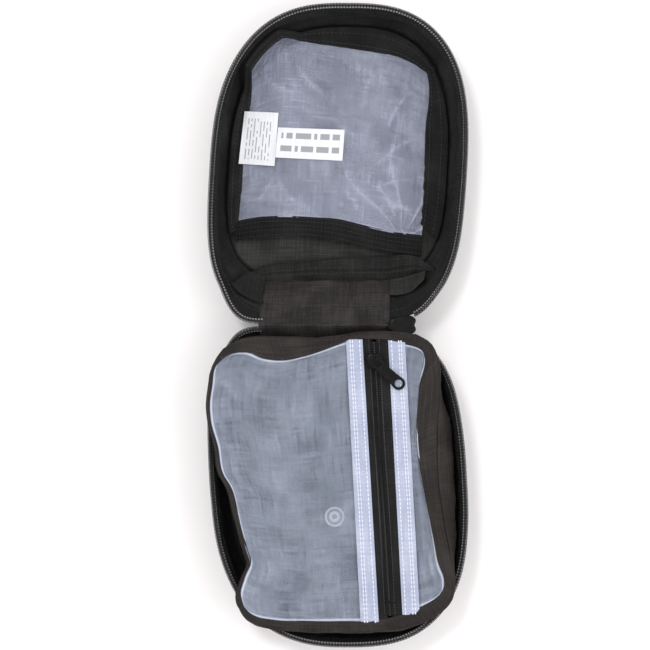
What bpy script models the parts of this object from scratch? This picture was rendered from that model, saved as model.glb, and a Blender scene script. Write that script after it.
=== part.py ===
"""A soft zip-round first-aid pouch, lying open on its back, at its real size.

Two tub-shaped fabric shells meet at a fabric spine. The lid holds a flat mesh pocket, and the base a
box-shaped mesh pocket with its own zip. A zip runs round both mouths, and its slider is parked on the
spine. A strap with a press stud makes the belt loop on the base's back.

Shell coordinates: u runs across a shell, v away from the spine, z up. The lid lies at +Y, the base at -Y.
"""

import math

import bmesh
import bpy
import numpy as np
from mathutils import Matrix

MM = 0.001  # the sizes below are in millimetres
GAP = 0.3  # clearance between pieces that touch on the real pouch

# Driving dimensions of a shell
RIM_HALF_WIDTH = 74.0
RIM_LENGTH = 185.0
WIDEST_V = 92.0  # where the mouth is widest, from the spine
RIM_HEIGHT = 35.0  # the spine's fold and the zip's mating line
SIDE_SLOPE = 9.0  # how far the walls lean out, from panel to mouth
NEAR_SLOPE = 26.0  # the same at the spine
WALL_CURVE = 1.3  # 1 is a straight wall, more is a rounder one
FAR_POWER = 2.6  # squareness of the far corners
NEAR_POWER = 3.5  # squareness of the corners at the spine
SKEW = 0.06  # the shells lie a little askew of the spine

# Cloth
PANEL_THICK = 1.4
WALL_THICK = 1.2
LINING_THICK = 0.5
TAPE_THICK = 0.6
BINDING_THICK = 1.4
BINDING_WIDTH = 8.0
MESH_THICK = 0.6
WEBBING_THICK = 1.2

# Main zip
WALL_TOP = 24.0
ZIP_TAPE_LOW = 21.0
COIL_SIZE = 2.6
ZIP_START, ZIP_END = -60, 240  # angles round the mouth, in degrees, from +u towards +v

# Spine
SPINE_LEFT, SPINE_RIGHT = -41.0, 31.5
SPINE_START, SPINE_END = -115, -70  # the same places as angles round the mouth
SPINE_THICK = 0.8
FOLD_RADIUS = 1.0
HEM_WIDTH = 9.0
HEM_HALF_ANGLE = 35

# Main slider
SLIDER_U = 42.0
SLIDER_LENGTH = 16.0
SLIDER_WIDTH = 11.0
SLIDER_PLATE = 1.2
SLIDER_CHAIN = 3.2  # free height between the plates
SLIDER_NECK = 1.0
MAIN_PULL_LENGTH = 26.0
MAIN_PULL_WIDTH = 8.0
MAIN_PULL_THICK = 1.6

# Mesh pocket in the lid
LID_MESH_U = -2.0
LID_MESH_HALF_WIDTH = RIM_HALF_WIDTH - 19.0
LID_MESH_FAR = RIM_LENGTH - WIDEST_V - 22.0  # from WIDEST_V to the far border
LID_MESH_POWER = 4.0
LID_MESH_NEAR_POWER = 8.0
LID_MESH_RISE = 7.0
LID_BORDER_END = 40  # degrees below the widest line
ELASTIC_WIDTH = 10.5
ELASTIC_V = 54.7
CARE_LABEL = (20.5, 30.0)
BATCH_LABEL = (46.0, 19.5)
LABEL_THICK = 0.3

# Box pocket in the base
POCKET_TOP = RIM_HEIGHT + 3.0
POCKET_U, POCKET_V = -6.0, WIDEST_V
POCKET_HALF_WIDTH = RIM_HALF_WIDTH - 14.0
POCKET_NEAR = WIDEST_V - 7.5  # from POCKET_V to the edge at the spine
POCKET_FAR = RIM_LENGTH - WIDEST_V - 11.0
POCKET_NEAR_POWER = 4.2
POCKET_FAR_POWER = 3.2
POCKET_FOOT_INSET = 6.0
GUSSET_THICK = 0.8
BORDER_WIDTH = 4.5
BORDER_THICK = 1.0
MESH_SAG = 9.0
POCKET_ZIP_U = 25.0
POCKET_TAPE_WIDTH = 19.0
POCKET_TAPE_SHOWN = 14.5
WHITE_BINDING = 9.5
COIL_WIDTH = 2.15
COIL_HEIGHT = 2.2
COIL_SLOT = 1.5  # between the two coils, where the slider's neck runs
STOP_LENGTH = 1.6

# Pocket slider and its pull
POCKET_SLIDER_LENGTH = 9.5
POCKET_SLIDER_WIDTH = 9.4
POCKET_SLIDER_PLATE = 1.0
POCKET_SLIDER_NECK = 0.9
PULL_LENGTH = 22.0  # from its pivot to its end
PULL_WIDTH = 7.4
PULL_THICK = 1.1
PULL_YAW = 47.0  # degrees it lies to the right of the zip
PULL_DROOP = 4.0
BAIL_REACH = 2.7  # from a slider's middle to the outside of its bail's leg
BAIL_BAR = 1.0
BAIL_OPENING = 2.2
PIVOT_HEIGHT = 1.3
PULL_WINDOW = 5.6
PULL_HOLE = 5.4

# Belt loop
RECESS_U, RECESS_V = -8.0, 95.0
RECESS_INNER, RECESS_OUTER = 0.5, 0.72  # shares of the way from its middle to the panel's edge
BELT_GAP = 4.6
STRAP_WIDTH = 25.0
ANCHOR_START, ANCHOR_END = 63.0, 74.0
STRAP_END = 123.0
STUD_U, STUD_V = -3.3, 112.0
STUD_CAP_RADIUS = 6.2
SNAP_RADIUS = 5.0
KNOB_RADIUS = 1.5
SOCKET_BORE = 2.0
PATCH_U, PATCH_V = (-33.0, 8.7), (91.0, 131.0)

# Heights that follow from the sizes above
LINING_LOW = PANEL_THICK + GAP
BINDING_LOW = LINING_LOW + LINING_THICK + GAP
BINDING_TOP = BINDING_LOW + BINDING_THICK
COIL_TOP = RIM_HEIGHT - GAP
TAPE_TOP = COIL_TOP - COIL_SIZE - GAP
CLOTH_LOW = POCKET_TOP + 2 * GAP  # underside of the mesh and tapes on the pocket's top
CLOTH_TOP = CLOTH_LOW + MESH_THICK
WHITE_LOW = CLOTH_TOP + GAP
POCKET_COIL_TOP = CLOTH_LOW + COIL_HEIGHT
SNAP_CAP_LOW, SNAP_CAP_THICK = 0.4, 1.0
STRAP_LOW = SNAP_CAP_LOW + SNAP_CAP_THICK + GAP
STRAP_TOP = STRAP_LOW + WEBBING_THICK
RECESS_HEIGHT = STRAP_TOP + BELT_GAP
LID_CLOTH_LOW = BINDING_TOP + GAP

STEP = 5  # degrees between the points of every round edge, so that neighbouring edges run parallel
LID, BASE = 1, -1


def wall_share(z):
    """How far the wall has leaned out at height z, 0 at the panel and 1 at the mouth."""
    return 1.0 - np.clip(1.0 - z / RIM_HEIGHT, 0.0, 1.0) ** WALL_CURVE


def squircle(angles, centre, half_u, half_far, half_near, far_power, near_power):
    """Points at these angles, in radians, round a squircle: |u/a|^n + |v/b|^n = 1."""
    cos, sin = np.cos(angles), np.sin(angles)
    half_v = np.where(sin >= 0, half_far, half_near)
    power = np.where(sin >= 0, far_power, near_power)
    radius = (np.abs(cos / half_u) ** power + np.abs(sin / half_v) ** power) ** (-1 / power)
    return np.stack([centre[0] + radius * cos, centre[1] + radius * sin], axis=-1)


def inward(curve, angles, inset):
    """The curve's points at these angles, moved inwards by inset."""
    step = 1e-3
    along = curve(angles + step) - curve(angles - step)
    along /= np.linalg.norm(along, axis=-1, keepdims=True)
    return curve(angles) + inset * np.stack([-along[:, 1], along[:, 0]], axis=-1)


def shell_curve(z):
    """The shell's outside at height z, as a function of the angle."""
    lean = 1.0 - wall_share(z)
    half_u = RIM_HALF_WIDTH - SIDE_SLOPE * lean
    half_far = RIM_LENGTH - WIDEST_V - SIDE_SLOPE * lean
    half_near = WIDEST_V - NEAR_SLOPE * lean
    return lambda angles: squircle(
        angles, (0.0, WIDEST_V), half_u, half_far, half_near, FAR_POWER, NEAR_POWER
    )


def pocket_curve(z):
    """The box pocket's outside at height z: it widens from its foot to its top."""
    share = (z - BINDING_TOP) / (POCKET_TOP - BINDING_TOP)
    foot = (
        0.0,
        WIDEST_V,
        RIM_HALF_WIDTH - SIDE_SLOPE - POCKET_FOOT_INSET,
        RIM_LENGTH - WIDEST_V - SIDE_SLOPE - POCKET_FOOT_INSET,
        WIDEST_V - NEAR_SLOPE - POCKET_FOOT_INSET,
        FAR_POWER,
        NEAR_POWER,
    )
    top = (
        POCKET_U,
        POCKET_V,
        POCKET_HALF_WIDTH,
        POCKET_FAR,
        POCKET_NEAR,
        POCKET_FAR_POWER,
        POCKET_NEAR_POWER,
    )
    u, v, *sizes = [a + (b - a) * share for a, b in zip(foot, top)]
    return lambda angles: squircle(angles, (u, v), *sizes)


def lid_mesh_curve(angles):
    """The inner edge of the lid pocket's border."""
    return squircle(
        angles,
        (LID_MESH_U, WIDEST_V),
        LID_MESH_HALF_WIDTH,
        LID_MESH_FAR,
        LID_MESH_FAR,
        LID_MESH_POWER,
        LID_MESH_NEAR_POWER,
    )


def turn_angles(start, end):
    """Angles in radians from start to end degrees, both included."""
    return np.radians(np.arange(start, end + STEP / 2, STEP))


def full_turn():
    return turn_angles(-90, 270 - STEP)


def swept(curve_at, angles, section):
    """Rows of (u, v, z): a section of (inset, z) points carried round a curve that depends on z."""
    points = []
    for inset, z in section:
        flat = inward(curve_at(z), angles, inset)
        points.append(np.column_stack([flat, np.full(len(flat), z)]))
    return np.stack(points, axis=1)


def box_section(inset, width, low, high):
    return [(inset, low), (inset + width, low), (inset + width, high), (inset, high)]


def mouth_middle():
    """The middle of the mouth's width once the shell is skewed, so that the pouch is centred on X."""
    rim = shell_curve(RIM_HEIGHT)(np.radians(np.arange(360)))
    x = rim[:, 0] + SKEW * rim[:, 1]
    return (x.min() + x.max()) / 2


MIDDLE = mouth_middle()


def world_x(u, v):
    return u + SKEW * v - MIDDLE


def to_world(points, side):
    """Shell coordinates in millimetres to world coordinates in metres."""
    u, v, z = points[..., 0], points[..., 1], points[..., 2]
    return np.stack([world_x(u, v), side * v, z], axis=-1) * MM


def material(name, colour, roughness, metallic=0.0):
    made = bpy.data.materials.get(name) or bpy.data.materials.new(name)
    made.use_nodes = True
    shader = made.node_tree.nodes["Principled BSDF"]
    shader.inputs["Base Color"].default_value = (*colour, 1.0)
    shader.inputs["Roughness"].default_value = roughness
    shader.inputs["Metallic"].default_value = metallic
    return made


def finishes():
    """Each finish of the pouch, by name."""
    return {
        "nylon": material("nylon", (0.012, 0.012, 0.013), 0.75),
        "ripstop": material("ripstop", (0.022, 0.018, 0.017), 0.6),
        "lining": material("lining", (0.035, 0.035, 0.032), 0.85),
        "binding": material("binding", (0.010, 0.010, 0.010), 0.9),
        "zip_tape": material("zip_tape", (0.010, 0.010, 0.011), 0.9),
        "coil": material("coil", (0.008, 0.008, 0.008), 0.4),
        "mesh": material("mesh", (0.45, 0.48, 0.58), 0.6),
        "white_tape": material("white_tape", (0.75, 0.79, 0.90), 0.8),
        "slider": material("slider", (0.015, 0.015, 0.015), 0.35, 0.6),
        "rubber": material("rubber", (0.012, 0.012, 0.012), 0.5),
        "label": material("label", (0.85, 0.86, 0.88), 0.6),
        "clear": material("clear", (0.80, 0.82, 0.84), 0.15),
        "webbing": material("webbing", (0.014, 0.014, 0.015), 0.9),
    }


def finish_mesh(name, points, faces, look, origin=(0.0, 0.0, 0.0)):
    """One named object from a closed mesh, with its normals outwards and its origin where asked."""
    mesh = bpy.data.meshes.new(name)
    mesh.from_pydata([tuple(p) for p in np.asarray(points) - origin], [], faces)
    work = bmesh.new()
    work.from_mesh(mesh)
    bmesh.ops.remove_doubles(work, verts=work.verts, dist=1e-7)
    bmesh.ops.recalc_face_normals(work, faces=work.faces)
    work.to_mesh(mesh)
    work.free()
    mesh.shade_smooth()
    mesh.set_sharp_from_angle(angle=math.radians(35))
    mesh.materials.append(look)
    made = bpy.data.objects.new(name, mesh)
    made.location = origin
    bpy.context.scene.collection.objects.link(made)
    return made


def loft_faces(rows, columns, closed):
    """Quads that join the rows of a tube, with its two ends filled where it isn't closed."""
    faces = []
    for i in range(rows if closed else rows - 1):
        for j in range(columns):
            a, b = i * columns, (i + 1) % rows * columns
            faces.append((a + j, a + (j + 1) % columns, b + (j + 1) % columns, b + j))
    if not closed:
        faces.append(tuple(range(columns)))
        faces.append(tuple(range((rows - 1) * columns, rows * columns)))
    return faces


def loft(name, rows, side, look, closed=False):
    """A band through rows of (u, v, z) points, each row one cross-section."""
    count, columns = rows.shape[:2]
    points = to_world(rows, side).reshape(-1, 3)
    return finish_mesh(name, points, loft_faces(count, columns, closed), look)


def ring(name, curve_at, section, side, look):
    return loft(name, swept(curve_at, full_turn(), section), side, look, closed=True)


def sheet(name, top, thickness, side, look):
    """A cloth from a grid of (u, v, z) points on its upper face."""
    rows, columns = top.shape[:2]
    upper = top.reshape(-1, 3)
    lower = upper - np.array([0.0, 0.0, thickness])
    count = rows * columns
    faces = []
    for i in range(rows - 1):
        for j in range(columns - 1):
            a, b = i * columns + j, (i + 1) * columns + j
            quad = (a, a + 1, b + 1, b)
            faces.append(quad)
            faces.append(tuple(count + k for k in reversed(quad)))
    edge = [j for j in range(columns)]
    edge += [i * columns + columns - 1 for i in range(1, rows)]
    edge += [(rows - 1) * columns + j for j in range(columns - 2, -1, -1)]
    edge += [i * columns for i in range(rows - 2, 0, -1)]
    for a, b in zip(edge, edge[1:] + edge[:1]):
        faces.append((a, b, count + b, count + a))
    return finish_mesh(name, to_world(np.concatenate([upper, lower]), side), faces, look)


def disc(name, edge, centre, shares, height_at, thickness, side, look):
    """A flat piece from its middle out to its edge, in rings at these shares, risen by height_at(share)."""
    middle = np.array(centre)
    steps = len(edge)
    upper = [np.array([*middle, height_at(0.0) + thickness])]
    for share in shares:
        for point in middle + share * (edge - middle):
            upper.append(np.array([*point, height_at(share) + thickness]))
    upper = np.array(upper)
    lower = upper - np.array([0.0, 0.0, thickness])
    count = len(upper)
    faces = []
    for j in range(steps):
        k = (j + 1) % steps
        faces.append((0, 1 + j, 1 + k))
        faces.append((count, count + 1 + k, count + 1 + j))
        for i in range(len(shares) - 1):
            a, b = 1 + i * steps, 1 + (i + 1) * steps
            faces.append((a + j, b + j, b + k, a + k))
            faces.append((count + a + j, count + a + k, count + b + k, count + b + j))
        last = 1 + (len(shares) - 1) * steps
        faces.append((last + j, count + last + j, count + last + k, last + k))
    return finish_mesh(name, to_world(np.concatenate([upper, lower]), side), faces, look)


def slab(name, u_range, v_range, z_range, side, look):
    """A straight strip between these limits in shell coordinates."""
    rows = [
        [(u_range[i], v, z_range[j]) for i, j in ((0, 0), (1, 0), (1, 1), (0, 1))] for v in v_range
    ]
    return loft(name, np.array(rows), side, look)


def turned(name, profile, u, v, side, look, steps=24):
    """A round piece from (radius, z) points, closed on its axis or round its bore."""
    turn = 2 * math.pi * np.arange(steps) / steps
    centre = to_world(np.array([u, v, 0.0]), side)
    rows = np.array(
        [[(r * MM * math.cos(a), r * MM * math.sin(a), z * MM) for r, z in profile] for a in turn]
    )
    return finish_mesh(
        name, rows.reshape(-1, 3) + centre, loft_faces(steps, len(profile), True), look, centre
    )


def shell_shared(side, names, looks):
    """The pieces that both shells have: wall, seam binding, zip tape, coil and spine panel."""
    levels = (0.0, ZIP_TAPE_LOW / 3, ZIP_TAPE_LOW * 2 / 3, ZIP_TAPE_LOW, WALL_TOP)
    wall = [(0.0, z) for z in levels] + [(WALL_THICK, z) for z in reversed(levels)]
    ring(names + "_wall", shell_curve, wall, side, looks["nylon"])

    binding = box_section(WALL_THICK + 2 * GAP, BINDING_WIDTH, BINDING_LOW, BINDING_TOP)
    ring(names + "_seam_binding", shell_curve, binding, side, looks["binding"])

    zip_angles = turn_angles(ZIP_START, ZIP_END)
    tape = box_section(WALL_THICK + GAP, TAPE_THICK, ZIP_TAPE_LOW, TAPE_TOP)
    loft(names + "_zip_tape", swept(shell_curve, zip_angles, tape), side, looks["zip_tape"])
    coil = box_section(0.2, COIL_SIZE, COIL_TOP - COIL_SIZE, COIL_TOP)
    loft(names + "_zip_coil", swept(shell_curve, zip_angles, coil), side, looks["coil"])

    inset = WALL_THICK + 1.5 * GAP
    low, high = BINDING_TOP + GAP, RIM_HEIGHT - FOLD_RADIUS - GAP
    spine = [(inset, z) for z in np.linspace(low, high, 6)]
    spine += [(inset + SPINE_THICK, z) for z in np.linspace(high, low, 6)]
    rows = swept(shell_curve, turn_angles(SPINE_START, SPINE_END), spine)
    loft(names + "_spine_panel", rows, side, looks["ripstop"])


def panel_edge():
    """The edge of a shell's flat panel, just inside its wall."""
    return inward(shell_curve(0.0), full_turn(), WALL_THICK + GAP)


def recess_rise(share):
    """How high the back panel rises over the belt loop, by the share of the way out to its edge."""
    x = np.clip((RECESS_OUTER - share) / (RECESS_OUTER - RECESS_INNER), 0.0, 1.0)
    return RECESS_HEIGHT * x * x * (3 - 2 * x)


def base_panels(looks):
    """The base's back panel and its lining, both risen over the belt loop."""
    between = (RECESS_INNER + RECESS_OUTER) / 2
    shares = (RECESS_INNER, between, RECESS_OUTER, 1.0)
    middle = (RECESS_U, RECESS_V)
    back = (PANEL_THICK, BASE, looks["nylon"])
    disc("base_back_panel", panel_edge(), middle, shares, recess_rise, *back)
    front = (LINING_THICK, BASE, looks["lining"])

    def lifted(share):
        return recess_rise(share) + LINING_LOW

    disc("base_lining", panel_edge(), middle, shares, lifted, *front)


def lid_panels(looks):
    """The lid's flat front panel and its lining."""
    middle = (0.0, WIDEST_V)
    for name, low, thick, look in (
        ("lid_front_panel", 0.0, PANEL_THICK, looks["nylon"]),
        ("lid_lining", LINING_LOW, LINING_THICK, looks["lining"]),
    ):
        disc(name, panel_edge(), middle, (1.0,), lambda share, low=low: low, thick, LID, look)


def elastic_middle(u):
    """v of the middle of the lid pocket's elastic edge: it bows, and runs down to the right."""
    return ELASTIC_V - 0.08 * u - 0.0016 * u * u


def lid_mesh_rise(u, share_v):
    """Height of the lid pocket's cloth over its border; share_v is 0 at the elastic, 1 at the far edge."""
    across = np.clip(1 - ((u - LID_MESH_U) / LID_MESH_HALF_WIDTH) ** 2, 0, 1)
    return LID_MESH_RISE * across * (1 - share_v**2)


def lid_pocket(looks):
    """The flat pocket in the lid: border on three sides, mesh, and the elastic edge of its mouth."""
    angles = turn_angles(-LID_BORDER_END, 180 + LID_BORDER_END)
    low, high = LID_CLOTH_LOW, LID_CLOTH_LOW + BORDER_THICK
    outer = inward(shell_curve(low), angles, WALL_THICK + BORDER_THICK + 3 * GAP)
    inner = inward(lid_mesh_curve, angles, -GAP)
    flats = [(outer, low), (inner, low), (inner, high), (outer, high)]
    rows = np.stack([np.column_stack([flat, np.full(len(flat), z)]) for flat, z in flats], axis=1)
    loft("lid_pocket_border", rows, LID, looks["binding"])

    half = LID_MESH_HALF_WIDTH - 2 * GAP
    u = LID_MESH_U + half * np.linspace(-0.995, 0.995, 13)
    near = elastic_middle(u) + ELASTIC_WIDTH / 2 + GAP
    reach = (1 - np.abs((u - LID_MESH_U) / half) ** LID_MESH_POWER) ** (1 / LID_MESH_POWER)
    far = WIDEST_V + (LID_MESH_FAR - 2 * GAP) * reach
    share = np.linspace(0.0, 1.0, 9)[:, None]
    v = near + (far - near) * share
    z = LID_CLOTH_LOW + MESH_THICK + lid_mesh_rise(u, share)
    top = np.stack([np.broadcast_to(u, v.shape), v, z], axis=-1)
    sheet("lid_pocket_mesh", top, MESH_THICK, LID, looks["mesh"])

    u = LID_MESH_U + 0.97 * half * np.linspace(-1.0, 1.0, 13)
    z = LID_CLOTH_LOW + BORDER_THICK + lid_mesh_rise(u, 0.0)
    edges = [elastic_middle(u) + ELASTIC_WIDTH / 2 * k for k in (-1, 1)]
    top = np.stack([np.column_stack([u, edge, z]) for edge in edges])
    sheet("lid_pocket_elastic", top, BORDER_THICK, LID, looks["binding"])


def lid_labels(looks):
    """Two blank white labels on the lid pocket: one sewn in at its left edge, one stuck beside it."""
    clear = GAP + LABEL_THICK
    care_u = LID_MESH_U - LID_MESH_HALF_WIDTH + CARE_LABEL[0] / 2
    care_v = ELASTIC_V + 49.0
    batch_u = care_u + (CARE_LABEL[0] + BATCH_LABEL[0]) / 2 + GAP
    for name, u0, size in (("care_label", care_u, CARE_LABEL), ("batch_label", batch_u, BATCH_LABEL)):
        u = u0 + size[0] * np.linspace(-0.5, 0.5, 7)
        v = care_v + size[1] * np.linspace(-0.5, 0.5, 3)
        over = np.maximum(lid_mesh_rise(u, 0.0), 0.0)
        z = LID_CLOTH_LOW + MESH_THICK + clear + over
        z = np.maximum(z, LID_CLOTH_LOW + BORDER_THICK + clear)
        grid = np.stack(np.broadcast_arrays(u, v[:, None], z), axis=-1)
        sheet(name, grid, LABEL_THICK, LID, looks["label"])


def lid_hem(looks):
    """The folded band over the lid's seam at the spine."""
    inset = WALL_THICK + SPINE_THICK + 3 * GAP
    section = box_section(inset, HEM_WIDTH, LID_CLOTH_LOW, LID_CLOTH_LOW + BINDING_THICK)
    angles = turn_angles(-90 - HEM_HALF_ANGLE, -90 + HEM_HALF_ANGLE)
    loft("lid_hem_band", swept(shell_curve, angles, section), LID, looks["binding"])


def hinge_fold(looks):
    """The folded edge of the spine, a round bead on the line that the lid turns about."""
    turn = 2 * math.pi * np.arange(10) / 10
    rows = []
    for u in (SPINE_LEFT, SPINE_RIGHT):
        x = world_x(u, 0.0)
        radius = FOLD_RADIUS
        rows.append([(x, radius * math.cos(a), RIM_HEIGHT + radius * math.sin(a)) for a in turn])
    points = np.array(rows).reshape(-1, 3) * MM
    finish_mesh("hinge_fold", points, loft_faces(2, len(turn), False), looks["ripstop"])


def pocket_top_span(u):
    """Near and far v of the opening inside the pocket's border, at u."""
    inset = BORDER_WIDTH + GAP
    across = np.abs((u - POCKET_U) / (POCKET_HALF_WIDTH - inset))
    near = (1 - across**POCKET_NEAR_POWER) ** (1 / POCKET_NEAR_POWER)
    far = (1 - across**POCKET_FAR_POWER) ** (1 / POCKET_FAR_POWER)
    return POCKET_V - (POCKET_NEAR - inset) * near, POCKET_V + (POCKET_FAR - inset) * far


def strip_run(across):
    """Near and far end of a straight strip between these two u, with all its corners inside the border."""
    near, far = pocket_top_span(np.array(across))
    return float(near.max()), float(far.min())


def pocket_zip_run():
    """Near and far end of the pocket's zip, where its slider and its tape meet the border."""
    near = pocket_top_span(POCKET_ZIP_U + POCKET_SLIDER_WIDTH / 2)[0]
    far = pocket_top_span(POCKET_ZIP_U + POCKET_TAPE_WIDTH / 2)[1]
    return float(near), float(far)


def pocket_mesh(name, left, right, columns, looks):
    """One mesh panel of the box pocket's top, sagging between its four edges."""
    u = np.linspace(left, right, columns)
    near, far = pocket_top_span(u)
    share = np.linspace(0.0, 1.0, 11)[:, None]
    v = near + (far - near) * share
    dip = MESH_SAG * min(1.0, (right - left) / POCKET_HALF_WIDTH)
    across = np.sin(np.pi * (u - left) / (right - left))
    z = CLOTH_TOP - dip * across * np.sin(np.pi * share)
    top = np.stack([np.broadcast_to(u, v.shape), v, z], axis=-1)
    sheet(name, top, MESH_THICK, BASE, looks["mesh"])


def pocket_walls(looks):
    """The box pocket's side gusset and the bound border round its top."""
    levels = np.linspace(BINDING_TOP + GAP, POCKET_TOP, 3)
    gusset = [(0.0, z) for z in levels] + [(GUSSET_THICK, z) for z in levels[::-1]]
    ring("pocket_gusset", pocket_curve, gusset, BASE, looks["ripstop"])
    low = POCKET_TOP + GAP
    border = box_section(0.0, BORDER_WIDTH, low, low + BORDER_THICK)
    ring("pocket_top_border", lambda z: pocket_curve(POCKET_TOP), border, BASE, looks["binding"])


def pocket_top(looks):
    """Mesh, white bindings, zip tapes, coils and stops on the box pocket's top."""
    zip_u = POCKET_ZIP_U
    tape_half = POCKET_TAPE_WIDTH / 2
    edge = POCKET_HALF_WIDTH - BORDER_WIDTH - 2 * GAP
    pocket_mesh("pocket_mesh_large", POCKET_U - edge, zip_u - tape_half - GAP, 11, looks)
    pocket_mesh("pocket_mesh_small", zip_u + tape_half + GAP, POCKET_U + edge, 4, looks)

    shown = POCKET_TAPE_SHOWN / 2
    near, far = pocket_zip_run()
    for name, side in (("left", -1), ("right", 1)):
        inner, outer = zip_u + side * shown, zip_u + side * (shown + WHITE_BINDING)
        across = (min(inner, outer), max(inner, outer))
        height = (WHITE_LOW, WHITE_LOW + TAPE_THICK)
        ends = strip_run(across)
        slab("pocket_binding_" + name, across, ends, height, BASE, looks["white_tape"])

        coil_inner = zip_u + side * COIL_SLOT / 2
        coil_outer = coil_inner + side * COIL_WIDTH
        tape_inner, tape_outer = coil_outer + side * GAP, zip_u + side * tape_half
        across = (min(tape_inner, tape_outer), max(tape_inner, tape_outer))
        height = (CLOTH_LOW, CLOTH_TOP)
        slab("pocket_zip_tape_" + name, across, strip_run(across), height, BASE, looks["zip_tape"])
        across = (min(coil_inner, coil_outer), max(coil_inner, coil_outer))
        height = (CLOTH_LOW, POCKET_COIL_TOP)
        ends = (near, far - STOP_LENGTH - GAP)
        slab("pocket_zip_coil_" + name, across, ends, height, BASE, looks["coil"])
    half = COIL_SLOT / 2 + COIL_WIDTH
    across = (zip_u - half, zip_u + half)
    slab("pocket_zip_bottom_stop", across, (far - STOP_LENGTH, far), height, BASE, looks["slider"])


def slider_body(name, length, width, plate, chain, neck, location, turn, look):
    """Two plates joined by a neck, with side lips on the upper one. Its nose points along local +X."""
    half, lip, drop = width / 2, plate * 0.8, chain * 0.45
    mid, top = chain / 2, chain / 2 + plate
    right = [(neck / 2, -mid), (half, -mid), (half, -top)]
    left = [(-half, -top), (-half, -mid), (-neck / 2, -mid), (-neck / 2, mid)]
    left += [(lip - half, mid), (lip - half, mid - drop), (-half, mid - drop), (-half, top)]
    right_up = [(half, top), (half, mid - drop), (half - lip, mid - drop), (half - lip, mid)]
    section = left + right_up + [(neck / 2, mid)] + right
    stations = ((-0.5, 0.86), (-0.2, 0.9), (0.1, 1.0), (0.32, 1.0), (0.44, 0.94), (0.5, 0.86))
    rows = []
    for along, share in stations:
        row = []
        for y, z in section:
            wide = y if abs(y) <= neck / 2 else math.copysign(abs(y) - half * (1 - share), y)
            row.append((along * length * MM, wide * MM, z * MM))
        rows.append(row)
    points = np.array(rows).reshape(-1, 3)
    made = finish_mesh(name, points, loft_faces(len(rows), len(section), False), look)
    made.matrix_world = Matrix.Translation(location) @ turn
    return made


def bail(name, base_z, location, turn, look):
    """The small arch on a slider's plate that holds its pull. Its opening faces local Y."""
    reach, bar, opening = BAIL_REACH, BAIL_BAR, BAIL_OPENING
    outer = [(-reach, 0.0), (-reach, opening + bar), (reach, opening + bar), (reach, 0.0)]
    inner = [(reach - bar, 0.0), (reach - bar, opening), (bar - reach, opening), (bar - reach, 0.0)]
    rows = []
    for y in (-bar / 2, bar / 2):
        rows.append([(x * MM, y * MM, (z + base_z) * MM) for x, z in outer + inner])
    points = np.array(rows).reshape(-1, 3)
    made = finish_mesh(name, points, loft_faces(2, len(outer) + len(inner), False), look)
    made.matrix_world = Matrix.Translation(location) @ turn
    return made


def round_spline(curve, centre, radius, steps=20):
    """A closed circle of straight runs in a flat curve."""
    spline = curve.splines.new("POLY")
    spline.points.add(steps - 1)
    for i, point in enumerate(spline.points):
        a = 2 * math.pi * i / steps
        point.co = (centre + radius * math.cos(a), radius * math.sin(a), 0.0, 1.0)
    spline.use_cyclic_u = True


def outline_spline(curve, corners):
    spline = curve.splines.new("POLY")
    spline.points.add(len(corners) - 1)
    for point, corner in zip(spline.points, corners):
        point.co = (corner[0] * MM, corner[1] * MM, 0.0, 1.0)
    spline.use_cyclic_u = True


def pull_tab(name, length, width, thick, hole, location, turn, look):
    """A flat pull along local +X: a window at the pivot, a round end, and a hole near it."""
    curve = bpy.data.curves.new(name, "CURVE")
    curve.dimensions = "2D"
    curve.fill_mode = "BOTH"
    curve.extrude = thick / 2 * MM
    half, root = width / 2, BAIL_BAR / 2
    arc = [math.pi * (i / 12 - 0.5) for i in range(13)]
    end = [(length - half + half * math.cos(a), half * math.sin(a)) for a in arc]
    outline_spline(curve, [(-root, -half), *end, (-root, half)])
    window = PULL_WINDOW / 2
    far = root + PULL_WINDOW
    outline_spline(curve, [(root, -window), (far, -window), (far, window), (root, window)])
    if hole:
        round_spline(curve, (length - half) * MM, hole / 2 * MM)
    curve.materials.append(look)
    made = bpy.data.objects.new(name, curve)
    bpy.context.scene.collection.objects.link(made)
    made.matrix_world = Matrix.Translation(location) @ turn
    return made


def main_slider(looks):
    """The main zip's slider on the spine's line, its bail and pull below it, and the zip's end stop."""
    centre = np.array([world_x(SLIDER_U, 0.0), 0.0, RIM_HEIGHT]) * MM
    level = Matrix.Identity(4)
    over = Matrix.Rotation(math.pi, 4, "X")
    slider_body(
        "main_slider_body",
        SLIDER_LENGTH,
        SLIDER_WIDTH,
        SLIDER_PLATE,
        SLIDER_CHAIN,
        SLIDER_NECK,
        centre,
        over,
        looks["slider"],
    )
    below = SLIDER_CHAIN / 2 + SLIDER_PLATE
    bail("main_slider_bail", below + GAP, centre, over, looks["slider"])
    pivot = centre - np.array([0.0, 0.0, below + PIVOT_HEIGHT]) * MM
    hang = Matrix.Rotation(math.pi / 2, 4, "Y")
    size = (MAIN_PULL_LENGTH, MAIN_PULL_WIDTH, MAIN_PULL_THICK, 0.0)
    pull_tab("main_pull_tab", *size, pivot, hang, looks["rubber"])
    end = SLIDER_U - SLIDER_LENGTH / 2 - GAP
    half = SLIDER_CHAIN / 2 - GAP
    corners = [(-half, -half), (half, -half), (half, half), (-half, half)]
    ends = (world_x(end, 0.0), world_x(end - STOP_LENGTH, 0.0))
    rows = [[(x, y, RIM_HEIGHT + z) for y, z in corners] for x in ends]
    points = np.array(rows).reshape(-1, 3) * MM
    finish_mesh("main_zip_end_stop", points, loft_faces(2, 4, False), looks["slider"])


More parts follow.
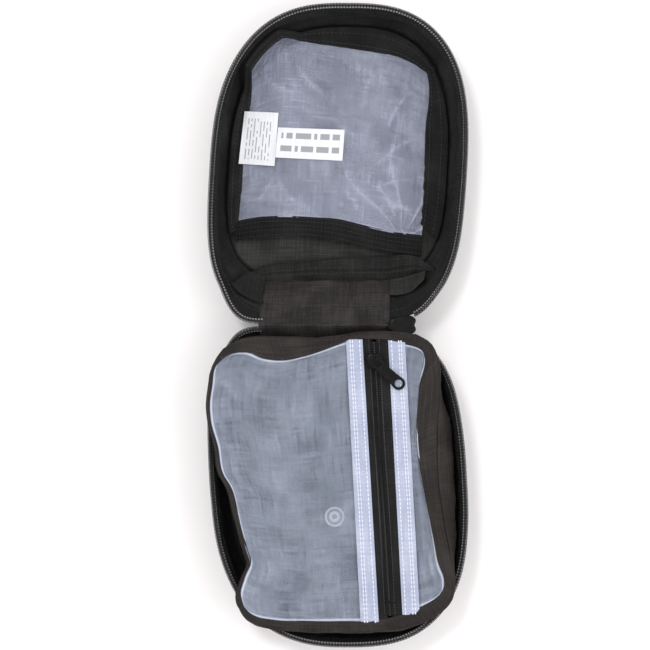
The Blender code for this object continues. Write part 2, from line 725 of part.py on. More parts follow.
def pocket_slider(looks):
    """The pocket zip's slider, its bail, and the pull lying to the right over the mesh."""
    mid_z = (CLOTH_LOW + POCKET_COIL_TOP) / 2
    chain = COIL_HEIGHT + 2 * GAP
    v = pocket_zip_run()[0] + GAP + POCKET_SLIDER_LENGTH / 2
    centre = np.array([world_x(POCKET_ZIP_U, v), -v, mid_z]) * MM
    nose = math.atan2(1.0, -SKEW)
    turn = Matrix.Rotation(nose, 4, "Z")
    slider_body(
        "pocket_slider_body",
        POCKET_SLIDER_LENGTH,
        POCKET_SLIDER_WIDTH,
        POCKET_SLIDER_PLATE,
        chain,
        POCKET_SLIDER_NECK,
        centre,
        turn,
        looks["slider"],
    )
    above = chain / 2 + POCKET_SLIDER_PLATE
    bail("pocket_slider_bail", above + GAP, centre, turn, looks["slider"])
    pivot = centre + np.array([0.0, 0.0, above + PIVOT_HEIGHT]) * MM
    aside = Matrix.Rotation(math.radians(PULL_YAW - 90), 4, "Z")
    lie = aside @ Matrix.Rotation(math.radians(PULL_DROOP), 4, "Y")
    size = (PULL_LENGTH, PULL_WIDTH, PULL_THICK, PULL_HOLE)
    pull_tab("pocket_pull_tab", *size, pivot, lie, looks["slider"])


def belt_loop(looks):
    """The belt loop on the base's back: anchor, strap, the four parts of its press stud, and the patch."""
    across = (STUD_U - STRAP_WIDTH / 2, STUD_U + STRAP_WIDTH / 2)
    top = RECESS_HEIGHT - GAP
    low, leg = top - WEBBING_THICK, ANCHOR_START + WEBBING_THICK
    fold = [(ANCHOR_START, STRAP_LOW), (leg, STRAP_LOW), (leg, low), (ANCHOR_END, low)]
    fold += [(ANCHOR_END, top), (ANCHOR_START, top)]
    rows = np.array([[(u, v, z) for v, z in fold] for u in across])
    loft("belt_loop_anchor", rows, BASE, looks["webbing"])
    run = (leg + GAP, STRAP_END)
    slab("belt_loop_strap", across, run, (STRAP_LOW, STRAP_TOP), BASE, looks["webbing"])

    cap_top = SNAP_CAP_LOW + SNAP_CAP_THICK
    cap = [(0.0, SNAP_CAP_LOW), (SNAP_RADIUS, SNAP_CAP_LOW), (SNAP_RADIUS + 1.0, cap_top), (0.0, cap_top)]
    turned("snap_socket_cap", cap, STUD_U, STUD_V, BASE, looks["clear"])
    low, high = STRAP_TOP + GAP, RECESS_HEIGHT - 2 * GAP - 1.0
    socket = [(SOCKET_BORE, low), (SNAP_RADIUS, low), (SNAP_RADIUS, high), (SOCKET_BORE, high)]
    turned("snap_socket", socket, STUD_U, STUD_V, BASE, looks["clear"])
    flange = high + GAP
    top = RECESS_HEIGHT - GAP
    stud = [(0.0, low + GAP), (KNOB_RADIUS, low + GAP), (KNOB_RADIUS, flange), (SNAP_RADIUS, flange)]
    stud += [(SNAP_RADIUS, top), (0.0, top)]
    turned("snap_stud", stud, STUD_U, STUD_V, BASE, looks["clear"])

    patch_low = RECESS_HEIGHT + LINING_LOW + LINING_THICK + GAP
    patch_top = patch_low + LINING_THICK
    slab("loop_backing_patch", PATCH_U, PATCH_V, (patch_low, patch_top), BASE, looks["nylon"])
    rim = STUD_CAP_RADIUS
    low = patch_top + GAP
    face = [(0.0, low), (rim, low), (rim, low + 0.5), (rim - 1.4, low + 1.1), (rim - 2.2, low + 0.8)]
    face += [(rim - 3.2, low + 0.8), (rim - 4.0, low + 1.3), (0.0, low + 1.5)]
    turned("snap_stud_cap", face, STUD_U, STUD_V, BASE, looks["clear"])


def main():
    for old in list(bpy.data.objects):
        bpy.data.objects.remove(old)
    looks = finishes()
    shell_shared(LID, "lid", looks)
    shell_shared(BASE, "base", looks)
    base_panels(looks)
    lid_panels(looks)
    lid_pocket(looks)
    lid_labels(looks)
    lid_hem(looks)
    hinge_fold(looks)
    pocket_walls(looks)
    pocket_top(looks)
    main_slider(looks)
    pocket_slider(looks)
    belt_loop(looks)


main()
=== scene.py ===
"""A soft zip-round first-aid pouch, lying open: the looks of every piece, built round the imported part.

Each sub-assembly of the pouch is a class that holds its sizes in millimetres and builds its own pieces.
Shell coordinates are used throughout: u runs across a shell, v away from the spine, and z up. The lid lies
at +Y and the base at -Y, and both lie a little askew of the spine.
"""

import logging
import math
from collections.abc import Iterator
from dataclasses import dataclass
from enum import Enum

import bmesh
import bpy
import numpy as np
from mathutils import Matrix, Vector

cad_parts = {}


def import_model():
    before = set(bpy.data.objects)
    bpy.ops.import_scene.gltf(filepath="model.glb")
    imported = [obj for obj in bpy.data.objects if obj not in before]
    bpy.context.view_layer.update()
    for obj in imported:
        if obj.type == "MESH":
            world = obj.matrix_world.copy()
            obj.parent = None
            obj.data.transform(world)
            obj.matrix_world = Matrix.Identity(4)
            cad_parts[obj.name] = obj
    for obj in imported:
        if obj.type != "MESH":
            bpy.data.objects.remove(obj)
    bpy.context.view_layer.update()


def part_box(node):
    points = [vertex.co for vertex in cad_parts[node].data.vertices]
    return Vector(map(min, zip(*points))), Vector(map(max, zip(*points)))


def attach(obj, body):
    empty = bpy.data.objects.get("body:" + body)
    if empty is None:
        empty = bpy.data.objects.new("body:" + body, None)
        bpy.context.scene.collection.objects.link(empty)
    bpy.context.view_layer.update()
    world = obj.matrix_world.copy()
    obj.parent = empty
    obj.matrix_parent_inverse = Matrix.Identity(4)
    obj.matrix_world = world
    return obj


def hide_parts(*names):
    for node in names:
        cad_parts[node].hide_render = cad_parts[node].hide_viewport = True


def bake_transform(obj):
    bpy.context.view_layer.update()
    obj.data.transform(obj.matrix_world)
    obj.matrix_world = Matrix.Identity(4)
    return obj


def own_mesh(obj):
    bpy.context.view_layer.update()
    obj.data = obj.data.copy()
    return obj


Array = np.ndarray
Piece = bpy.types.Object
Material = bpy.types.Material
Node = bpy.types.Node
Socket = bpy.types.NodeSocket
Tree = bpy.types.NodeTree
Pair = tuple[float, float]
Triple = tuple[float, float, float]
log = logging.getLogger("pouch")

MM = 0.001
SKEW = 0.06  # how far the shells lean from the spine's square
MIDDLE = 5.165  # u of the pouch's middle at the spine
RIM_HEIGHT = 35.0
WALL_TOP = 24.0
UP = np.array([0.0, 0.0, 1.0])


class Side(Enum):
    """Which shell a piece belongs to; the value is the sign of its Y."""

    LID = 1
    BASE = -1


class Space(Enum):
    """The coordinates that a finish's pattern follows."""

    CLOTH = "the piece's own UV map, in metres along the cloth"
    OBJECT = "object coordinates"


# ---------------------------------------------------------------- shapes


def place(u: Array, v: Array, z: Array, side: Side) -> Array:
    """World points in metres: x = u + SKEW v - MIDDLE, y = v towards the shell's own end.

    Args:
        u: Distance across the shell, in millimetres.
        v: Distance from the spine.
        z: Height.
        side: The shell.

    Returns:
        An array with one more axis than the inputs, of x, y and z.
    """
    u, v, z = np.broadcast_arrays(np.asarray(u, float), v, z)
    return np.stack([u + SKEW * v - MIDDLE, side.value * v, z], axis=-1) * MM


def laid(flat: Array, z: Array, side: Side) -> Array:
    """World points of flat (u, v) points at height z."""
    return place(flat[..., 0], flat[..., 1], z, side)


@dataclass(frozen=True)
class Outline:
    """A squircle, |u/a|^n + |v/b|^n = 1, with its own length and power on its far and near halves."""

    centre_u: float
    centre_v: float
    half_u: float
    half_far: float
    half_near: float
    far_power: float
    near_power: float

    def at(self, angles: Array) -> Array:
        """Points (u, v) at these polar angles, in radians.

        Args:
            angles: Polar angles about the centre.

        Returns:
            One (u, v) for each angle.
        """
        cos, sin = np.cos(angles), np.sin(angles)
        half_v = np.where(sin >= 0, self.half_far, self.half_near)
        power = np.where(sin >= 0, self.far_power, self.near_power)
        radius = (np.abs(cos / self.half_u) ** power + np.abs(sin / half_v) ** power) ** (-1 / power)
        return np.stack([self.centre_u + radius * cos, self.centre_v + radius * sin], axis=-1)

    def inset(self, angles: Array, inset: Array) -> Array:
        """The outline's points moved inwards along its normal by inset.

        Args:
            angles: Polar angles about the centre.
            inset: How far in, in millimetres.

        Returns:
            One (u, v) for each angle.
        """
        step = 1e-3
        along = self.at(angles + step) - self.at(angles - step)
        along /= np.linalg.norm(along, axis=-1, keepdims=True)
        return self.at(angles) + np.asarray(inset)[..., None] * np.stack([-along[..., 1], along[..., 0]], -1)


@dataclass(frozen=True)
class ShellShape:
    """The tub shape that both shells share."""

    half_width: float = 74.0
    length: float = 185.0
    widest: float = 92.0
    side_slope: float = 9.0
    near_slope: float = 26.0
    curve: float = 1.3
    far_power: float = 2.6
    near_power: float = 3.5

    def outline(self, z: float) -> Outline:
        """The wall's outside at height z: it leans out by (1 - z/height)^curve of its slope."""
        lean = max(0.0, 1.0 - z / RIM_HEIGHT) ** self.curve
        return Outline(
            0.0,
            self.widest,
            self.half_width - self.side_slope * lean,
            self.length - self.widest - self.side_slope * lean,
            self.widest - self.near_slope * lean,
            self.far_power,
            self.near_power,
        )


SHELL = ShellShape()


def smooth(x: Array) -> Array:
    """0 below 0, 1 above 1, and 3x^2 - 2x^3 between."""
    x = np.clip(x, 0.0, 1.0)
    return x * x * (3 - 2 * x)


def bump(x: Array, middle: float, width: float) -> Array:
    """A bell, exp(-((x - middle) / width)^2)."""
    return np.exp(-(((x - middle) / width) ** 2))


def turn(start: float, end: float, count: int) -> Array:
    """Evenly spaced angles in radians, from start to end degrees."""
    return np.radians(np.linspace(start, end, count))


def through(points: list[tuple[float, ...]], count: int) -> Array:
    """A smooth curve through points, by cubic Hermite spans over the chord length.

    Args:
        points: The points that it passes through.
        count: How many samples to take, evenly along the chord length.

    Returns:
        The samples, one row each.
    """
    knots = np.asarray(points, float)
    chord = np.concatenate([[0.0], np.cumsum(np.linalg.norm(np.diff(knots, axis=0), axis=1))])
    slope = np.gradient(knots, chord, axis=0)
    at = np.linspace(0.0, chord[-1], count)
    span = np.clip(np.searchsorted(chord, at, side="right") - 1, 0, len(knots) - 2)
    width = (chord[span + 1] - chord[span])[:, None]
    t = (at - chord[span])[:, None] / width
    a, b = knots[span], knots[span + 1]
    return (
        (2 * t**3 - 3 * t**2 + 1) * a
        + (t**3 - 2 * t**2 + t) * width * slope[span]
        + (3 * t**2 - 2 * t**3) * b
        + (t**3 - t**2) * width * slope[span + 1]
    )


def coons(near: Array, far: Array, left: Array, right: Array) -> Array:
    """A patch filled between four edges: the two ruled surfaces added, less the flat one of the corners.

    Args:
        near: The edge of row 0, running left to right.
        far: The edge of the last row.
        left: The edge of column 0, running near to far.
        right: The edge of the last column.

    Returns:
        Points of shape (rows, columns, dimensions).
    """
    s = np.linspace(0, 1, len(near))[None, :, None]
    t = np.linspace(0, 1, len(left))[:, None, None]
    ruled = (1 - t) * near[None] + t * far[None] + (1 - s) * left[:, None] + s * right[:, None]
    corners = (1 - t) * ((1 - s) * near[0] + s * near[-1]) + t * ((1 - s) * far[0] + s * far[-1])
    return ruled - corners


@dataclass(frozen=True)
class Ripples:
    """Small uneven waves in cloth: a sum of sines in seeded directions, or of their sharp crests."""

    seed: int
    height: float
    shortest: float
    longest: float
    count: int = 9
    sharp: bool = False
    direction: float | None = None
    spread: float = 0.35

    def at(self, p: Array, q: Array) -> Array:
        """The height at (p, q), in millimetres, about zero.

        Args:
            p: Places along the cloth, in millimetres.
            q: Places across it.

        Returns:
            One height for each place.
        """
        rng = np.random.default_rng(self.seed)
        total = np.zeros(np.broadcast(p, q).shape)
        for _ in range(self.count):
            wave = rng.uniform(self.shortest, self.longest)
            way = rng.uniform(0, math.pi)
            if self.direction is not None:
                way = self.direction + rng.normal(0, self.spread)
            phase = rng.uniform(0, 2 * math.pi)
            bend = 0.6 * np.sin((p * math.sin(way) - q * math.cos(way)) * 2 * math.pi / (wave * 3.1) + phase)
            swing = np.sin((p * math.cos(way) + q * math.sin(way)) * 2 * math.pi / wave + phase + bend)
            total = total + ((1 - np.abs(swing)) ** 3 - 0.25 if self.sharp else swing)
        return self.height * total / math.sqrt(self.count)


# ---------------------------------------------------------------- meshes


def cloth_lengths(points: Array) -> Array:
    """A UV for each point of a grid: the mean distance along its columns and its rows, in metres.

    Args:
        points: A grid of world points.

    Returns:
        One (u, v) for each point.
    """
    along = np.linalg.norm(np.diff(points, axis=1), axis=-1).mean(axis=0)
    across = np.linalg.norm(np.diff(points, axis=0), axis=-1).mean(axis=1)
    u = np.concatenate([[0.0], np.cumsum(along)])
    v = np.concatenate([[0.0], np.cumsum(across)])
    return np.stack(np.broadcast_arrays(u[None, :], v[:, None]), axis=-1)


def grid_quads(rows: int, columns: int) -> Array:
    """Vertex numbers of the quads of a grid."""
    a = np.arange(rows - 1)[:, None] * columns + np.arange(columns - 1)[None, :]
    return np.stack([a, a + 1, a + 1 + columns, a + columns], axis=-1).reshape(-1, 4)


def make_mesh(name: str, points: Array, quads: Array, uv: Array, close: bool = True) -> Piece:
    """One object from whole arrays, with its doubles merged and its faces turned outwards.

    Args:
        name: The piece's name.
        points: World points in metres, one row each.
        quads: Vertex numbers of each face.
        uv: One cloth coordinate for each point.
        close: Whether to merge points that coincide, which closes seams and poles.

    Returns:
        The object, at the world's origin.
    """
    mesh = bpy.data.meshes.new(name)
    mesh.vertices.add(len(points))
    mesh.vertices.foreach_set("co", np.ascontiguousarray(points, np.float32).ravel())
    mesh.loops.add(quads.size)
    mesh.loops.foreach_set("vertex_index", quads.ravel().astype(np.int32))
    mesh.polygons.add(len(quads))
    mesh.polygons.foreach_set("loop_start", np.arange(0, quads.size, quads.shape[1], dtype=np.int32))
    mesh.update(calc_edges=True)
    layer = mesh.uv_layers.new(name="cloth")
    layer.data.foreach_set("uv", np.ascontiguousarray(uv[quads.ravel()], np.float32).ravel())
    if close:
        work = bmesh.new()
        work.from_mesh(mesh)
        bmesh.ops.remove_doubles(work, verts=work.verts, dist=2e-7)
        bmesh.ops.dissolve_degenerate(work, edges=work.edges, dist=1e-8)
        bmesh.ops.recalc_face_normals(work, faces=work.faces)
        work.to_mesh(mesh)
        work.free()
    mesh.shade_smooth()
    mesh.set_sharp_from_angle(angle=math.radians(50))
    made = bpy.data.objects.new(name, mesh)
    bpy.context.scene.collection.objects.link(made)
    return made


def surface(name: str, points: Array, uv: Array | None = None) -> Piece:
    """A closed body whose grid meets itself at its seams and poles."""
    rows, columns = points.shape[:2]
    uv = cloth_lengths(points) if uv is None else uv
    return make_mesh(name, points.reshape(-1, 3), grid_quads(rows, columns), uv.reshape(-1, 2))


def face_normals(points: Array, ring: bool) -> Array:
    """Unit normals of a grid, as the cross product of its row and column directions.

    Args:
        points: A grid of world points.
        ring: Whether its last column repeats the first.

    Returns:
        One unit vector for each point.
    """
    down = np.gradient(points, axis=0)
    if ring:
        body = points[:, :-1]
        along = np.roll(body, -1, axis=1) - np.roll(body, 1, axis=1)
        along = np.concatenate([along, along[:, :1]], axis=1)
        down = np.concatenate([down[:, :-1], down[:, :1]], axis=1)
    else:
        along = np.gradient(points, axis=1)
    normal = np.cross(down, along)
    length = np.linalg.norm(normal, axis=-1, keepdims=True)
    return normal / np.maximum(length, 1e-12)


def sheet(
    name: str, points: Array, thickness: float, ring: bool = False, uv: Array | None = None
) -> Piece:
    """A cloth of even thickness: the grid, its copy pushed back along its normals, and the edges between.

    Args:
        name: The piece's name.
        points: The cloth's face, as a grid of world points in metres.
        thickness: In millimetres; the copy lies below, against the face's upward or outward normal.
        ring: Whether the last column repeats the first.
        uv: Cloth coordinates, if not the lengths along the grid.

    Returns:
        The object.
    """
    rows, columns = points.shape[:2]
    normal = face_normals(points, ring)
    if normal[..., 2].mean() < 0:
        normal = -normal
    back = points - normal * thickness * MM
    uv = (cloth_lengths(points) if uv is None else uv).reshape(-1, 2)
    count = rows * columns
    top = grid_quads(rows, columns)
    edges = [(np.arange(columns), 1), ((rows - 1) * columns + np.arange(columns), -1)]
    if not ring:
        edges += [(np.arange(rows) * columns, -1), (np.arange(rows) * columns + columns - 1, 1)]
    strips = []
    for line, way in edges:
        a, b = (line[:-1], line[1:]) if way > 0 else (line[1:], line[:-1])
        strips.append(np.stack([b, a, a + count, b + count], axis=-1))
    quads = np.concatenate([top, top[:, ::-1] + count, *strips])
    both = np.concatenate([points.reshape(-1, 3), back.reshape(-1, 3)])
    return make_mesh(name, both, quads, np.concatenate([uv, uv]))


def tube_grid(path: Array, radius: float | Array, aside: Array, sides: int, flat: float = 1.0) -> Array:
    """Rings of points round a path, closed to a point at both ends.

    The rings lie in the plane of n and b, where b is the tangent crossed with aside, and n is b crossed
    with the tangent. flat scales the rings along b.
    """
    along = np.gradient(path, axis=0)
    along /= np.linalg.norm(along, axis=1, keepdims=True)
    b = np.cross(along, aside)
    b /= np.linalg.norm(b, axis=1, keepdims=True)
    n = np.cross(b, along)
    round_ = np.linspace(0, 2 * math.pi, sides + 1)
    r = np.broadcast_to(radius, len(path))[:, None, None]
    cos, sin = np.cos(round_)[None, :, None], np.sin(round_)[None, :, None] * flat
    rings = path[:, None] + r * (cos * n[:, None] + sin * b[:, None])
    ends = [np.repeat(path[i][None, None], sides + 1, axis=1) for i in (0, -1)]
    return np.concatenate([ends[0], rings, ends[1]])


def lengths_along(path: Array) -> Array:
    """Distance from the start of a path to each of its points."""
    return np.concatenate([[0.0], np.cumsum(np.linalg.norm(np.diff(path, axis=0), axis=1))])


def resample(path: Array, at: Array) -> Array:
    """The path's points at these distances from its start."""
    known = lengths_along(path)
    return np.stack([np.interp(at, known, path[:, k]) for k in range(path.shape[1])], axis=-1)


def stitch_row(
    name: str, paths: list[Array], up: Array, pitch: float = 2.6, length: float = 1.9, width: float = 0.42
) -> Piece:
    """Rows of sewn stitches: small flattened grains of thread laid end to end along each path.

    Args:
        name: The piece's name.
        paths: World paths in metres that the rows follow.
        up: The way out of the cloth, one vector for all.
        pitch: Distance between stitches, in millimetres.
        length: Length of one stitch.
        width: Thickness of the thread.

    Returns:
        One object with every stitch.
    """
    along, across = np.linspace(-1, 1, 5), np.linspace(0, 2 * math.pi, 6)
    fat = np.sqrt(np.maximum(0.0, 1 - along**4))
    centres, ways = [], []
    for path in paths:
        total = lengths_along(path)[-1]
        at = np.arange(pitch * MM * 0.5, total, pitch * MM)
        centres.append(resample(path, at))
        ahead = resample(path, np.minimum(at + 0.4 * MM, total)) - resample(path, np.maximum(at - 0.4 * MM, 0))
        ways.append(ahead / np.linalg.norm(ahead, axis=1, keepdims=True))
    centre, way = np.concatenate(centres)[:, None, None], np.concatenate(ways)[:, None, None]
    aside = np.cross(way, np.asarray(up, float))
    aside /= np.linalg.norm(aside, axis=-1, keepdims=True)
    lift = np.cross(aside, way)
    x = (along * length / 2 * MM)[None, :, None, None]
    y = (fat[:, None] * np.cos(across) * width / 2 * MM)[None, ..., None]
    z = ((fat[:, None] * np.sin(across) * 0.8 - 0.5 * along[:, None] ** 2) * width / 2 * MM)[None, ..., None]
    points = centre + x * way + y * aside + z * lift
    one = grid_quads(5, 6)
    quads = (one[None] + np.arange(len(points))[:, None, None] * 30).reshape(-1, 4)
    uv = np.tile(cloth_lengths(points[0]).reshape(-1, 2), (len(points), 1))
    return make_mesh(name, points.reshape(-1, 3), quads, uv)


def helix(
    path: Array, reach: Array, rise: Array, pitch: float, per_turn: int, phase: float = 0.0
) -> tuple[Array, Array, Array]:
    """A coil round a path: the path plus reach cos(a) plus rise sin(a), one turn of a for each pitch.

    Args:
        path: The coil's middle, in metres.
        reach: Half the coil's width as a vector, one row for each point of the path.
        rise: Half the coil's height as a vector.
        pitch: Distance between turns, in millimetres.
        per_turn: Samples in a turn.
        phase: Angle at the start, in radians.

    Returns:
        The coil's path, at each of its points the direction out of the coil's middle, and its share of painted
        highlight:
        1 where the wire turns down at the coil's sides, where a glossy wire would catch the light, and 0 elsewhere.
    """
    total = lengths_along(path)[-1]
    count = int(total / (pitch * MM) * per_turn)
    at = np.linspace(0, total, count)
    angle = at / (pitch * MM) * 2 * math.pi + phase
    known = lengths_along(path)
    wide = np.stack([np.interp(at, known, reach[:, k]) for k in range(3)], axis=-1)
    high = np.stack([np.interp(at, known, rise[:, k]) for k in range(3)], axis=-1)
    out = wide * np.cos(angle)[:, None] + high * np.sin(angle)[:, None]
    # painted highlight: the wire's sides, where it turns down, are marked here to be painted pale in its finish
    painted_highlight = smooth((np.abs(np.cos(angle)) - 0.74) / 0.2) * (np.sin(angle) > -0.35)
    return resample(path, at) + out, out, painted_highlight


# ---------------------------------------------------------------- finishes


class Nodes:
    """Adds and links the nodes of one shader tree."""

    def __init__(self, tree: Tree) -> None:
        self.tree = tree

    def add(self, kind: str, **values: object) -> Node:
        """A node of this kind, with attributes or unlinked inputs set from values."""
        node = self.tree.nodes.new(kind)
        for name, value in values.items():
            if hasattr(node, name):
                setattr(node, name, value)
            else:
                node.inputs[name.replace("_", " ")].default_value = value
        return node

    def feed(self, socket: Socket, value: object) -> None:
        """Links a socket to value, or sets it where value is a number."""
        if isinstance(value, Socket):
            self.tree.links.new(value, socket)
        else:
            socket.default_value = value

    def set(self, node: Node, **values: object) -> None:
        """Links or sets a node's inputs, named with _ for each space."""
        for name, value in values.items():
            self.feed(node.inputs[name.replace("_", " ")], value)

    def relief(self, shader: Node, *layers: tuple[object, float, float]) -> None:
        """Feeds the shader's normal from bumps over one another, each a height, a strength and a depth in mm."""
        normal = None
        for height, strength, depth in layers:
            node = self.add("ShaderNodeBump", Strength=strength, Distance=depth * MM)
            self.feed(node.inputs["Height"], height)
            if normal is not None:
                self.feed(node.inputs["Normal"], normal)
            normal = node.outputs[0]
        self.feed(shader.inputs["Normal"], normal)

    def math(self, operation: str, a: object, b: object = 0.0, c: object = 0.0) -> Socket:
        """The output of a math node."""
        node = self.add("ShaderNodeMath", operation=operation)
        for socket, value in zip(node.inputs, (a, b, c)):
            self.feed(socket, value)
        return node.outputs[0]

    def mix(self, factor: object, a: object, b: object) -> Socket:
        """Two colours mixed by factor.

        Args:
            factor: Share of the second colour.
            a: The first colour.
            b: The second colour.

        Returns:
            The mixed colour.
        """
        node = self.add("ShaderNodeMix", data_type="RGBA")
        self.feed(node.inputs[0], factor)
        self.feed(node.inputs[6], a)
        self.feed(node.inputs[7], b)
        return node.outputs[2]

    def scaled(self, vector: object, factor: float) -> Socket:
        """A vector times a number."""
        node = self.add("ShaderNodeVectorMath", operation="SCALE")
        self.feed(node.inputs[0], vector)
        node.inputs[3].default_value = factor
        return node.outputs[0]

    def split(self, vector: object) -> tuple[Socket, Socket]:
        """The x and y of a vector."""
        node = self.add("ShaderNodeSeparateXYZ")
        self.feed(node.inputs[0], vector)
        return node.outputs[0], node.outputs[1]

    def noise(self, vector: object, scale: float, detail: float = 3.0) -> Socket:
        """Fractal noise between 0 and 1.

        Args:
            vector: Where to read it.
            scale: Its frequency.
            detail: Its octaves.

        Returns:
            The noise.
        """
        node = self.add("ShaderNodeTexNoise")
        self.feed(node.inputs["Vector"], vector)
        node.inputs["Scale"].default_value = scale
        node.inputs["Detail"].default_value = detail
        return node.outputs[0]

    def ramp(self, value: object, low: float, high: float) -> Socket:
        """0 below low, 1 above high, and smooth between.

        Args:
            value: What to map.
            low: Where the ramp starts.
            high: Where it ends.

        Returns:
            The mapped value.
        """
        node = self.add("ShaderNodeMapRange", interpolation_type="SMOOTHSTEP")
        self.feed(node.inputs["Value"], value)
        node.inputs["From Min"].default_value = low
        node.inputs["From Max"].default_value = high
        return node.outputs[0]


def new_group(
    name: str, inputs: dict[str, tuple[str, float]], outputs: dict[str, str]
) -> tuple[Tree, Nodes, Node, Node]:
    """An empty shader node group with these sockets, its node helper, and its input and output nodes."""
    tree = bpy.data.node_groups.new(name, "ShaderNodeTree")
    for label, (kind, value) in inputs.items():
        socket = tree.interface.new_socket(label, in_out="INPUT", socket_type=kind)
        if kind == "NodeSocketFloat":
            socket.default_value = value
    for label, kind in outputs.items():
        tree.interface.new_socket(label, in_out="OUTPUT", socket_type=kind)
    nodes = Nodes(tree)
    return tree, nodes, nodes.add("NodeGroupInput"), nodes.add("NodeGroupOutput")


def weave_group() -> Tree:
    """Plain weave: sin x sin y over the thread pitch, roughened by noise, with a ripstop grid over it.

    Inputs are the cloth vector in millimetres, the thread pitch, the pitch of the ripstop grid (0 for
    none) and the slub, how uneven the threads are. Outputs are the height and the grid's mask.
    """
    tree, n, given, put = new_group(
        "Woven threads",
        {
            "Vector": ("NodeSocketVector", 0.0),
            "Pitch": ("NodeSocketFloat", 0.5),
            "Grid": ("NodeSocketFloat", 0.0),
            "Slub": ("NodeSocketFloat", 0.4),
        },
        {"Height": "NodeSocketFloat", "Threads": "NodeSocketFloat", "Grid mask": "NodeSocketFloat"},
    )
    x, y = n.split(given.outputs["Vector"])
    rate = n.math("DIVIDE", math.pi, given.outputs["Pitch"])
    warp = n.math("SINE", n.math("MULTIPLY", x, rate))
    weft = n.math("SINE", n.math("MULTIPLY", y, rate))
    check = n.math("MULTIPLY_ADD", n.math("MULTIPLY", warp, weft), 0.5, 0.5)
    slubs = []
    for stretch in ((0.05, 1.2, 1.0), (1.2, 0.05, 1.0)):
        long = n.add("ShaderNodeVectorMath", operation="MULTIPLY")
        n.feed(long.inputs[0], given.outputs["Vector"])
        long.inputs[1].default_value = stretch
        slubs.append(n.noise(long.outputs[0], 1.0, 2.0))
    slub = n.math("SUBTRACT", n.math("ADD", *slubs), 1.0)
    threads = n.math("MULTIPLY_ADD", slub, n.math("MULTIPLY", given.outputs["Slub"], 3.2), check)
    size = n.math("MAXIMUM", given.outputs["Grid"], 0.01)
    lines = []
    for axis in (x, y):
        part = n.math("FRACT", n.math("DIVIDE", axis, size))
        near = n.math("ABSOLUTE", n.math("SUBTRACT", part, 0.5))
        lines.append(n.ramp(near, 0.40, 0.47))
    both = n.math("MAXIMUM", *lines)
    mask = n.math("MULTIPLY", both, n.math("GREATER_THAN", given.outputs["Grid"], 0.02))
    n.feed(put.inputs["Height"], n.math("MULTIPLY_ADD", mask, 0.7, threads))
    n.feed(put.inputs["Threads"], threads)
    n.feed(put.inputs["Grid mask"], mask)
    return tree


def crumple_group() -> Tree:
    """Fine unevenness of used cloth: two noises, one of them ridged. Outputs a height and a shade."""
    tree, n, given, put = new_group(
        "Crumple",
        {"Vector": ("NodeSocketVector", 0.0), "Strength": ("NodeSocketFloat", 1.0)},
        {"Height": "NodeSocketFloat", "Shade": "NodeSocketFloat"},
    )
    broad = n.noise(given.outputs["Vector"], 0.045, 3.0)
    fine = n.noise(given.outputs["Vector"], 0.22, 4.0)
    ridge = n.math("SUBTRACT", 1.0, n.math("MULTIPLY", n.math("ABSOLUTE", n.math("SUBTRACT", fine, 0.5)), 4.0))
    total = n.math("MULTIPLY_ADD", n.math("MAXIMUM", ridge, 0.0), 0.45, broad)
    n.feed(put.inputs["Height"], n.math("MULTIPLY", total, given.outputs["Strength"]))
    n.feed(put.inputs["Shade"], n.ramp(broad, 0.3, 0.7))
    return tree


def lint_group() -> Tree:
    """Lint and dust: sparse small specks where a fine noise peaks, thicker where a broad one is high."""
    tree, n, given, put = new_group(
        "Lint",
        {"Vector": ("NodeSocketVector", 0.0), "Amount": ("NodeSocketFloat", 0.3)},
        {"Mask": "NodeSocketFloat"},
    )
    specks = n.ramp(n.noise(given.outputs["Vector"], 1.1, 2.0), 0.70, 0.78)
    where = n.ramp(n.noise(given.outputs["Vector"], 0.05, 1.0), 0.35, 0.7)
    n.feed(put.inputs["Mask"], n.math("MULTIPLY", n.math("MULTIPLY", specks, where), given.outputs["Amount"]))
    return tree


def rib_group() -> Tree:
    """Ribs across a tape: a sine along the cloth's length at the rib pitch, with a finer sine across it at a quarter of
    its height.
    """
    tree, n, given, put = new_group(
        "Ribs",
        {"Vector": ("NodeSocketVector", 0.0), "Pitch": ("NodeSocketFloat", 1.2)},
        {"Height": "NodeSocketFloat"},
    )
    x, y = n.split(given.outputs["Vector"])
    rate = n.math("DIVIDE", 2 * math.pi, given.outputs["Pitch"])
    rib = n.math("SINE", n.math("MULTIPLY", x, rate))
    thread = n.math("SINE", n.math("MULTIPLY", y, n.math("MULTIPLY", rate, 1.6)))
    n.feed(put.inputs["Height"], n.math("MULTIPLY_ADD", thread, 0.25, rib))
    return tree


class Groups:
    """The node groups that the finishes share, each built once."""

    def __init__(self) -> None:
        self.weave = weave_group()
        self.crumple = crumple_group()
        self.lint = lint_group()
        self.ribs = rib_group()


def start_material(name: str, space: Space) -> tuple[Material, Nodes, Node, Socket]:
    """A new material, its node helper, its shader, and its cloth vector in millimetres.

    Args:
        name: The material's name.
        space: The coordinates that its pattern follows.
    """
    made = bpy.data.materials.new(name)
    made.use_nodes = True
    n = Nodes(made.node_tree)
    shader = made.node_tree.nodes["Principled BSDF"]
    if space is Space.CLOTH:
        source = n.add("ShaderNodeUVMap", uv_map="cloth").outputs[0]
    else:
        source = n.add("ShaderNodeTexCoord").outputs["Object"]
    return made, n, shader, n.scaled(source, 1000.0)


def use(n: Nodes, tree: Tree, vector: object, **values: object) -> Node:
    """A group node fed with vector and these values.

    Args:
        n: The material's node helper.
        tree: The group.
        vector: The cloth vector in millimetres.
        values: Other inputs, by name.

    Returns:
        The group's node.
    """
    node = n.add("ShaderNodeGroup")
    node.node_tree = tree
    n.feed(node.inputs["Vector"], vector)
    for name, value in values.items():
        n.feed(node.inputs[name.capitalize()], value)
    return node


